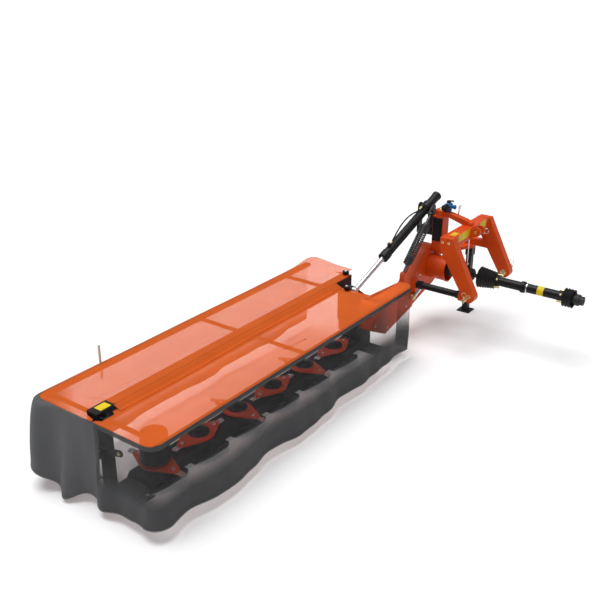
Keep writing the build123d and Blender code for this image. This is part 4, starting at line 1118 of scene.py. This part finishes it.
class MOWER_OT_fasteners(bpy.types.Operator):
    """Sets the bolts on discs, arm, headstock, gearbox and outer stay, and the pins on the headstock."""

    bl_idname = "mower.fasteners"
    bl_label = "Fasteners"

    def execute(self, context):
        size = sizes().bolt_size
        for number in DISCS:
            self.disc(number, size)
        self.arm(size)
        self.headstock(size)
        self.top_pin_grip()
        self.mower(size)
        return {"FINISHED"}

    def disc(self, number, size):
        """Two knife bolts on a disc, and a ring of bolts on the drum or a plug on the cap."""
        low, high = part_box(f"disc_{number}")
        middle = (low + high) / 2
        body = f"rotor_{number}"
        tip = TO_REAR if high.y - low.y > high.x - low.x else INWARD
        middle.z = low.z + DISC_PLATE_TOP
        seats = [(middle + tip * side * KNIFE_BOLT_AT, UP) for side in (-1, 1)]
        bolts(f"knife_bolts_{number}", SLOT_STEEL, body, size * KNIFE_BOLT, seats)
        if number == DISCS[0]:
            middle.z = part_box("outer_drum")[1].z
            spots = circle(middle, INWARD * DRUM_RING_R, TO_REAR * DRUM_RING_R, 6, start=0.5)
            bolts("drum_bolts", SLOT_STEEL, body, size * SMALL_BOLT, [(spot, UP) for spot in spots])
        else:
            middle.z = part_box(f"cap_{number}")[1].z - PLUG_SUNK
            turned(f"cap_plug_{number}", SLOT_PLASTIC, body, (middle, UP, CAP_PLUG))

    def arm(self, size):
        """Cover bolts on the arm's front face and the nut on the fold pin."""
        pivot = joint_facts("mower_fold")[0]
        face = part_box("input_guard")[1].y
        seats = [((pivot.x + dx, face, pivot.z + dz), -TO_REAR) for dx, dz in ARM_BOLTS]
        bolts("arm_bolts", SLOT_ZINC, "arm", size, seats)
        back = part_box("belt_arm")[1].y
        bolts("fold_pin_nut", SLOT_ZINC, "arm", size * FOLD_NUT, [((pivot.x, back, pivot.z), TO_REAR)])

    def headstock(self, size):
        """Bolts through the legs' heads, the nut on the king post's cap, and the link pins' linch pins."""
        legs_low, legs_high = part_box("headstock_legs")
        beam_low, beam_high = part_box("headstock_beam")
        shape = Shape()
        for x, out in ((legs_low.x, -INWARD), (legs_high.x, INWARD)):
            for dy in LEG_BOLTS:
                place = (x, beam_high.y - CROSS_DEPTH / 2 + dy, (beam_high.z + beam_low.z) / 2)
                shape.bolt(place, out, size * LEG_BOLT)
        king = joint_facts("breakaway")[0]
        shape.bolt((king.x, king.y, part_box("king_post")[1].z), UP, size * KING_NUT)
        pins_low, pins_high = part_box("lower_link_pins")
        middle = (pins_low + pins_high) / 2
        above, below = LINCH_STEM
        for x, end in ((pins_low.x, -1), (pins_high.x, 1)):
            place = Vector((x - end * LINCH_INSET, middle.y, middle.z))
            shape.sweep((place + UP * above, place - UP * below), LINCH_R[0], 8)
            hub = place + INWARD * end * LINCH_OFFSET + UP * (above + LINCH_RING[0])
            ring = circle(hub, -UP * LINCH_RING[0], TO_REAR * LINCH_RING[1], 20)
            shape.sweep(ring, LINCH_R[1], 6, closed=True)
        piece("headstock_bolts", shape, SLOT_ZINC, "headstock")

    def top_pin_grip(self):
        """The grip on the top pin's end, with the ring that hangs from it."""
        low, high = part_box("top_link_pin")
        start = Vector((high.x, (low.y + high.y) / 2, (low.z + high.z) / 2))
        tip = start + INWARD * PIN_GRIP_L
        shape = Shape()
        shape.sweep((start, tip), PIN_GRIP_R, 10)
        ring = circle(tip - UP * PIN_RING_R, UP * PIN_RING_R, TO_REAR * PIN_RING_R, 24)
        shape.sweep(ring, PIN_RING_WIRE, 6, closed=True)
        piece("top_pin_grip", shape, SLOT_STEEL, "headstock")

    def mower(self, size):
        """Bolts on the gearbox's lid and the outer stay."""
        low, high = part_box("gearbox")
        along, across = LID_INSET
        pitch = (high.x - low.x - 2 * along) / (LID_BOLTS - 1)
        seats = [((low.x + along + pitch * k, y, high.z), UP)
                 for k in range(LID_BOLTS) for y in (low.y + across, high.y - across)]
        bolts("gearbox_bolts", SLOT_ZINC, "mower_unit", size * SMALL_BOLT, seats)
        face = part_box("outer_bracket")[0].x + STAY_FACE
        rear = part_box("main_beam")[1].y
        seats = [((face, rear + dy, z), -INWARD) for dy, z in STAY_BOLTS]
        bolts("stay_bolts", SLOT_ZINC, "mower_unit", size, seats)


# Safety strips: thickness; on the beam's end, from, to and in from the edges; on the cross beam's
# face, from and to, rise and height; on its top, from, to, and the same in depth
STRIP_T = 0.0006
BEAM_STRIP = (0.042, 0.124)
BEAM_STRIP_EDGE = 0.014
CROSS_STRIPS = ((0.060, 0.265), (0.455, 0.570))
STRIP_RISE = 0.016
STRIP_H = 0.064
TOP_STRIP = (0.02, 0.11, 0.022, 0.066)

# The band and the ring round the drive shaft's guard, and the tube's own radius
BAND_FROM_FRONT = 0.150
BAND_L = 0.055
BAND_R = 0.0385
BAND_T = 0.001
RING_PAST_MIDDLE = 0.01
RING_L = 0.008
RING_R = 0.041
TUBE_R = 0.037

# Screws and clamps round the necks of the guard's bells: each bell, which way its neck lies and its
# radius; how far from the bell, a screw's width, and the clamps' turn, radius and length
GUARD_NECKS = (("guard_bell_rear", -1, 0.044), ("guard_bell_front", 1, 0.038))
NECK_OUT = 0.010
SCREW_SIZE = 0.014
SCREW_TURN = 0.2
CLAMP_TURN = 0.9
CLAMP_R = 0.009
CLAMP_L = 0.052

# Stop bolts: a rubber's profile, its bolt's height and width, and the two stops' places in x and y, from
# the beam's inner end and rear side, and from the last rib and the lid's seam
STOP_RUBBER = ((0, 0.012), (0.010, 0.012), (0.012, 0.026), (0.030, 0.028), (0.036, 0.024), (0.036, 0.013))
STOP_BOLT_UP = 0.034
STOP_BOLT = 0.021
BEAM_STOP = (-0.03, -0.05)
LID_STOP = (0.01, -0.10)

# The lift valve: its place from the king pin, the heights of its axis, knob and lever above the brace,
# its profiles as (distance along, radius) pairs, and the lever's bends
VALVE_AT = (0.014, -0.056)
VALVE_AXIS_UP = 0.036
VALVE_KNOB_UP = 0.060
VALVE_LEVER_UP = 0.080
VALVE_HALF = 0.032
VALVE_PORT_AT = (0.006, -0.024)
VALVE_BODY = ((0, 0.025), (0.008, 0.033), (0.056, 0.033), (0.064, 0.025), (0.076, 0.022), (0.079, 0.014))
VALVE_FOOT = ((0, 0.030), (0.010, 0.030), (0.012, 0.023), (0.036, 0.023))
VALVE_PORT = ((0, 0.015), (0.026, 0.015), (0.026, 0.019), (0.038, 0.019), (0.041, 0.013))
VALVE_COIL = ((0, 0.026), (0.004, 0.030), (0.044, 0.030), (0.048, 0.024), (0.060, 0.012))
VALVE_KNOB = ((0, 0.018), (0.022, 0.018), (0.027, 0.012))
VALVE_LEVER = ((0, 0, 0), (-0.022, -0.030, 0.014), (-0.032, -0.060, 0.018))
LEVER_R = 0.0062

# The pin beside it: its x from the king pin, its share of the brace's depth, how far down it starts,
# which way it leans and its profile
BRACE_PIN_X = 0.030
BRACE_PIN_AT = 0.45
BRACE_PIN_DOWN = 0.050
BRACE_PIN_WAY = (0.10, -0.10, 1.0)
BRACE_PIN = ((0, 0.007), (0.075, 0.007), (0.075, 0.011), (0.105, 0.011), (0.108, 0.008))

# The breakaway catch: the boot at the rod's rear and the ring at its front, and the bright tube with
# its plug, its place from the rod's axis and the arm's front, and its way
BOOT_BACK = 0.058
LATCH_BOOT = ((0, 0.030), (0.010, 0.037), (0.020, 0.030), (0.030, 0.037), (0.040, 0.030), (0.050, 0.034),
              (0.054, 0.016))
ROD_RING = ((0, 0.0285), (0.012, 0.033), (0.030, 0.033), (0.036, 0.0285))
CATCH_AT = (0.108, 0.026, -0.062)
CATCH_WAY = Vector((-0.92, 0, -0.39))
CATCH_L = 0.128
CATCH_TUBE = ((0, 0.027), (CATCH_L, 0.027), (CATCH_L, 0.022))
CATCH_PLUG = ((0, 0.022), (0.006, 0.029), (0.030, 0.029), (0.034, 0.022))

# The king post's black plate, painted shade on its outer side where that side falls in shadow: in from the
# sides, up from the foot, down from the top, thickness and rounding
SHADE_PLATE_EDGE = 0.004
SHADE_PLATE_UP = 0.120
SHADE_PLATE_DOWN = 0.060
SHADE_PLATE_T = 0.006
SHADE_PLATE_ROUND = 0.002

# Rings on the lift cylinder, as (distance from the collar, length, radius), their chamfer, and the
# radius that they are sunk to
BARREL_RINGS = ((0.620, 0.070, 0.044), (-0.170, 0.030, 0.041), (0.036, 0.010, 0.046))
BARREL_CHAMFER = 0.002
BARREL_SUNK_R = 0.0375

# A weld bead: radius, unevenness with its rate, and points to a side
WELD_R = 0.0045
WELD_UNEVEN = 0.0012
WELD_RATE = 90.0
WELD_STEPS = 12


def shaft_point(y):
    """The point on the drive shaft's axis at a y."""
    centre = joint_facts("shaft_spin")[0]
    return Vector((centre.x, y, centre.z))


class MOWER_OT_fittings(bpy.types.Operator):
    """Adds the plain safety strips, stops, valve, catch tube, the post's painted-shade plate, rings, clamps
    and weld beads.
    """

    bl_idname = "mower.fittings"
    bl_label = "Fittings"

    def execute(self, context):
        self.strips()
        self.stops()
        self.valve()
        self.latch()
        self.post_shade_plate()
        self.barrel_rings()
        self.shaft_clamps()
        self.welds()
        return {"FINISHED"}

    def strips(self):
        """Bare yellow strips on the beam's end, the cross beam and the shaft's guard."""
        yellow = moulded_plastic("safety_strip", colours().decal, roughness=0.42)
        guard = Guard()
        start, end = BEAM_STRIP
        depth = guard.beam_rear - guard.beam_front - 2 * BEAM_STRIP_EDGE
        shape = Shape()
        shape.plate((guard.beam_x0 + start, guard.beam_front + BEAM_STRIP_EDGE, guard.beam_top),
                    INWARD * (end - start), TO_REAR * depth, STRIP_T)
        piece("beam_strip", shape, yellow, "mower_unit")
        low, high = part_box("headstock_beam")
        face = high.y - CROSS_DEPTH
        shape = Shape()
        for start, end in CROSS_STRIPS:
            shape.plate((low.x + start, face, high.z - CROSS_H + STRIP_RISE),
                        INWARD * (end - start), UP * STRIP_H, STRIP_T)
        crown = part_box("headstock_legs")[1].z
        start, end, front, rear = TOP_STRIP
        shape.plate((low.x + start, face + front, crown),
                    INWARD * (end - start), TO_REAR * (rear - front), STRIP_T)
        piece("cross_strips", shape, yellow, "headstock")
        band = ((0, BAND_R - BAND_T), (0, BAND_R), (BAND_L, BAND_R), (BAND_L, BAND_R - BAND_T))
        place = shaft_point(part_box("guard_tube")[0].y + BAND_FROM_FRONT)
        turned("shaft_band", yellow, "shaft_guard", (place, TO_REAR, band), sides=40)

    def stops(self):
        """Two rubber-ringed stop bolts by the beam's inner end."""
        guard = Guard()
        rows = (("beam_stop", guard.beam_x1, guard.beam_rear, guard.beam_top, BEAM_STOP, "mower_unit"),
                ("lid_stop", guard.ribs[-1], guard.seam, guard.top, LID_STOP, "front_guard"))
        for name, x, y, z, (dx, dy), body in rows:
            foot = Vector((x + dx, y + dy, z))
            turned(name, SLOT_PLASTIC, body, (foot, UP, STOP_RUBBER))
            bolts(name + "_bolt", SLOT_STEEL, body, STOP_BOLT, [(foot + UP * STOP_BOLT_UP, UP)])

    def valve(self):
        """The small lift valve on the upper bearing: blue body, black lever and coil, and a pin beside it."""
        king = joint_facts("breakaway")[0]
        low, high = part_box("upper_brace")
        blue = moulded_plastic("valve_blue", colours().valve, roughness=0.35)
        foot = Vector((king.x + VALVE_AT[0], king.y + VALVE_AT[1], high.z))
        middle = foot + UP * VALVE_AXIS_UP
        end = middle - INWARD * VALVE_HALF
        port = middle + Vector((*VALVE_PORT_AT, 0))
        turned("valve_body", blue, "headstock", (end, INWARD, VALVE_BODY), (foot, UP, VALVE_FOOT),
               (port, -TO_REAR, VALVE_PORT))
        dark = Shape()
        dark.lathe(foot + UP * VALVE_KNOB_UP, UP, VALVE_KNOB)
        dark.sweep([foot + UP * VALVE_LEVER_UP + Vector(bend) for bend in VALVE_LEVER], LEVER_R)
        dark.lathe(end, -INWARD, VALVE_COIL)
        piece("valve_lever", dark, SLOT_PLASTIC, "headstock")
        start = (king.x + BRACE_PIN_X, low.y + BRACE_PIN_AT * (high.y - low.y), high.z - BRACE_PIN_DOWN)
        turned("brace_pin", SLOT_STEEL, "headstock", (start, BRACE_PIN_WAY, BRACE_PIN))

    def latch(self):
        """The breakaway rod's boot and ring, and the bright tube beside the catch with its plug."""
        low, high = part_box("breakaway_rod")
        x = (low.x + high.x) / 2
        z = (low.z + high.z) / 2
        turned("latch_boot", SLOT_PLASTIC, "headstock", ((x, high.y - BOOT_BACK, z), TO_REAR, LATCH_BOOT),
               ((x, low.y, z), TO_REAR, ROD_RING))
        start = Vector((x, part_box("belt_arm")[0].y, z)) + Vector(CATCH_AT)
        turned("catch_tube", SLOT_STEEL, "arm", (start, CATCH_WAY, CATCH_TUBE))
        turned("catch_plug", SLOT_ZINC, "arm", (start + CATCH_WAY * CATCH_L, CATCH_WAY, CATCH_PLUG))

    def post_shade_plate(self):
        """A black plate on the king post's outer side: painted shade for that side, which falls in shadow."""
        low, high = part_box("king_post")
        shape = Shape()
        shape.plate((low.x, high.y - SHADE_PLATE_EDGE, low.z + SHADE_PLATE_UP), -TO_REAR * (high.y - low.y - 2 * SHADE_PLATE_EDGE),
                    UP * (high.z - low.z - SHADE_PLATE_UP - SHADE_PLATE_DOWN), SHADE_PLATE_T)
        # Painted shade: a dark plate where the post's outer side is in shadow
        piece("post_shade_plate", shape, SLOT_PLASTIC, "arm", bevel=SHADE_PLATE_ROUND)

    def barrel_rings(self):
        """Rings on the cylinder's mouth, head and collar."""
        collar, along = cylinder_line()
        parts = []
        for start, length, radius in BARREL_RINGS:
            edge = radius - BARREL_CHAMFER
            profile = ((0, BARREL_SUNK_R), (0, edge), (BARREL_CHAMFER, radius),
                       (length - BARREL_CHAMFER, radius), (length, edge), (length, BARREL_SUNK_R))
            parts.append((collar + along * start, along, profile))
        turned("barrel_rings", SLOT_BLACK, "lift_barrel", *parts, sides=32)

    def shaft_clamps(self):
        """Screws and clamps round the necks of the shaft's guard, and the ring on its tube."""
        shape = Shape()
        for node, way, radius in GUARD_NECKS:
            low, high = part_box(node)
            neck = shaft_point(high.y + NECK_OUT if way > 0 else low.y - NECK_OUT)
            for seat in circle(neck, INWARD * radius, UP * radius, 3, start=SCREW_TURN):
                shape.bolt(seat, (seat - neck).normalized(), SCREW_SIZE)
            for angle in (CLAMP_TURN, CLAMP_TURN + math.pi):
                out = Vector((math.cos(angle), 0, math.sin(angle)))
                start = neck + out * (radius + CLAMP_R) - TO_REAR * CLAMP_L / 2
                shape.lathe(start, TO_REAR, ((0, CLAMP_R), (CLAMP_L, CLAMP_R)))
        piece("guard_screws", shape, SLOT_ZINC, "shaft_guard")
        low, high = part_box("guard_tube")
        place = shaft_point((low.y + high.y) / 2 + RING_PAST_MIDDLE)
        ring = ((0, TUBE_R), (0, RING_R), (RING_L, RING_R), (RING_L, TUBE_R))
        turned("guard_ring", SLOT_STEEL, "shaft_guard", (place, TO_REAR, ring), sides=40)

    def welds(self):
        """Beads where the cross beam meets the legs."""
        low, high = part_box("headstock_beam")
        front = high.y - CROSS_DEPTH
        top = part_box("headstock_legs")[1].z
        shape = Shape()
        for x in (low.x, high.x):
            loop = [Vector((x, y, z)) for y, z in (
                (front, top - CROSS_H), (high.y, top - CROSS_H), (high.y, top), (front, top))]
            path = []
            for here, there in zip(loop, loop[1:] + loop[:1]):
                path += [here.lerp(there, k / WELD_STEPS) for k in range(WELD_STEPS)]
            uneven = [p + WELD_UNEVEN * noise.noise_vector(p * WELD_RATE) for p in path]
            shape.sweep(uneven, WELD_R, 8, closed=True)
        piece("leg_welds", shape, SLOT_ORANGE, "headstock")


# The camera, fitted to the photograph: focal length in its pixels, place in metres, turn in degrees
PHOTO_SIDE = 600
CAMERA_FOCUS = 851.3
CAMERA_PLACE = (-4.7015, -2.9002, 3.203)
CAMERA_TURN = (66.52, 0.0, -53.73)
CAMERA_SENSOR = 36.0
CAMERA_REACH = 200.0

# Light: the world's own with its tone, the floor's glow for the camera, the sun and the fill
WHITE = (1, 1, 1, 1)
WORLD_LIGHT = 0.30
WORLD_TONE = (0.96, 0.98, 1.0, 1)
FLOOR_HALF = 40.0
FLOOR_GLOW = 0.160
SUN_STRENGTH = 2.5
SUN_SOFTNESS = 42.0
SUN_PLACE = Vector((0, 0, 8))
SUN_WAY = Vector((0.08, -0.15, -0.985))
FILL_POWER = 18.0
FILL_SIZE = 4.0
FILL_PLACE = Vector((-5.0, -4.0, 3.5))
FILL_AIM = Vector((0.3, 0, 0.4))


class MOWER_OT_stage(bpy.types.Operator):
    """Sets the white studio: world, floor, lamps and the camera."""

    bl_idname = "mower.stage"
    bl_label = "Studio"

    def execute(self, context):
        context.scene.view_settings.view_transform = "Standard"
        self.world(context.scene)
        self.floor()
        self.lamps()
        self.camera(context.scene)
        return {"FINISHED"}

    def world(self, scene):
        """White where the camera sees it, and a dimmer, cooler light on the mower."""
        scene.world = bpy.data.worlds.new("studio")
        scene.world.use_nodes = True
        tree = scene.world.node_tree
        tree.nodes.clear()
        path = tree.nodes.new("ShaderNodeLightPath")
        mix = tree.nodes.new("ShaderNodeMixShader")
        tree.links.new(path.outputs["Is Camera Ray"], mix.inputs[0])
        for socket, colour, strength in ((1, WORLD_TONE, WORLD_LIGHT), (2, WHITE, 1.0)):
            light = tree.nodes.new("ShaderNodeBackground")
            light.inputs["Color"].default_value = colour
            light.inputs["Strength"].default_value = strength
            tree.links.new(light.outputs[0], mix.inputs[socket])
        out = tree.nodes.new("ShaderNodeOutputWorld")
        tree.links.new(mix.outputs[0], out.inputs[0])

    def floor(self):
        """A wide pale floor that keeps the soft shadow, with a glow that only the camera sees."""
        mesh = bpy.data.meshes.new("floor")
        corners = [(x * FLOOR_HALF, y * FLOOR_HALF, 0) for x, y in ((-1, -1), (1, -1), (1, 1), (-1, 1))]
        mesh.from_pydata(corners, [], [(0, 1, 2, 3)])
        nodes = Nodes("studio_floor")
        nodes.tree.nodes.remove(nodes.shader)
        diffuse = nodes.add("ShaderNodeBsdfDiffuse", {"Color": rgba(colours().floor)})
        seen = nodes.add("ShaderNodeLightPath"), "Is Camera Ray"
        strength = nodes.math("MULTIPLY", seen, FLOOR_GLOW)
        glow = nodes.add("ShaderNodeEmission", {"Color": WHITE, "Strength": strength})
        both = nodes.add("ShaderNodeAddShader", {0: (diffuse, 0), 1: (glow, 0)})
        nodes.feed(nodes.output, "Surface", (both, 0))
        mesh.materials.append(nodes.material)
        placed("floor", mesh)

    def lamps(self):
        """A soft sun from high behind the mower, and a low fill from the front."""
        sun = bpy.data.lights.new("sun", "SUN")
        sun.energy = SUN_STRENGTH
        sun.angle = math.radians(SUN_SOFTNESS)
        fill = bpy.data.lights.new("fill", "AREA")
        fill.energy = FILL_POWER
        fill.size = FILL_SIZE
        for data, place, way in ((sun, SUN_PLACE, SUN_WAY), (fill, FILL_PLACE, FILL_AIM - FILL_PLACE)):
            lamp = placed(data.name, data)
            lamp.location = place
            lamp.rotation_euler = way.to_track_quat("-Z", "Y").to_euler()

    def camera(self, scene):
        """The camera at the photograph's viewing angle."""
        data = bpy.data.cameras.new("camera")
        data.sensor_width = CAMERA_SENSOR
        data.lens = CAMERA_SENSOR * CAMERA_FOCUS / PHOTO_SIDE
        data.clip_end = CAMERA_REACH
        camera = placed("camera", data)
        camera.location = CAMERA_PLACE
        camera.rotation_euler = [math.radians(a) for a in CAMERA_TURN]
        scene.camera = camera


class MOWER_PT_panel(bpy.types.Panel):
    """Lists the mower's finishing steps and their sizes and colours."""

    bl_idname = "MOWER_PT_panel"
    bl_label = "Disc mower"
    bl_space_type = "VIEW_3D"
    bl_region_type = "UI"
    bl_category = "Mower"

    def draw(self, context):
        for operator in OPERATORS:
            self.layout.operator(operator.bl_idname)
        for group in (context.scene.mower_sizes, context.scene.mower_colours):
            for name in group.__annotations__:
                self.layout.prop(group, name)


OPERATORS = (MOWER_OT_stage, MOWER_OT_paint, MOWER_OT_canopy, MOWER_OT_skirts, MOWER_OT_spring,
             MOWER_OT_hose, MOWER_OT_fasteners, MOWER_OT_fittings)
CLASSES = (Sizes, Colours, *OPERATORS, MOWER_PT_panel)


def register():
    for item in CLASSES:
        bpy.utils.register_class(item)
    bpy.types.Scene.mower_sizes = bpy.props.PointerProperty(type=Sizes)
    bpy.types.Scene.mower_colours = bpy.props.PointerProperty(type=Colours)


def unregister():
    del bpy.types.Scene.mower_colours
    del bpy.types.Scene.mower_sizes
    for item in reversed(CLASSES):
        bpy.utils.unregister_class(item)


def main():
    register()
    bpy.ops.mower.stage()
    bpy.ops.mower.paint()
    bpy.ops.mower.canopy()
    bpy.ops.mower.skirts()
    bpy.ops.mower.spring()
    bpy.ops.mower.hose()
    bpy.ops.mower.fasteners()
    bpy.ops.mower.fittings()


if __name__ == "__main__":
    main()
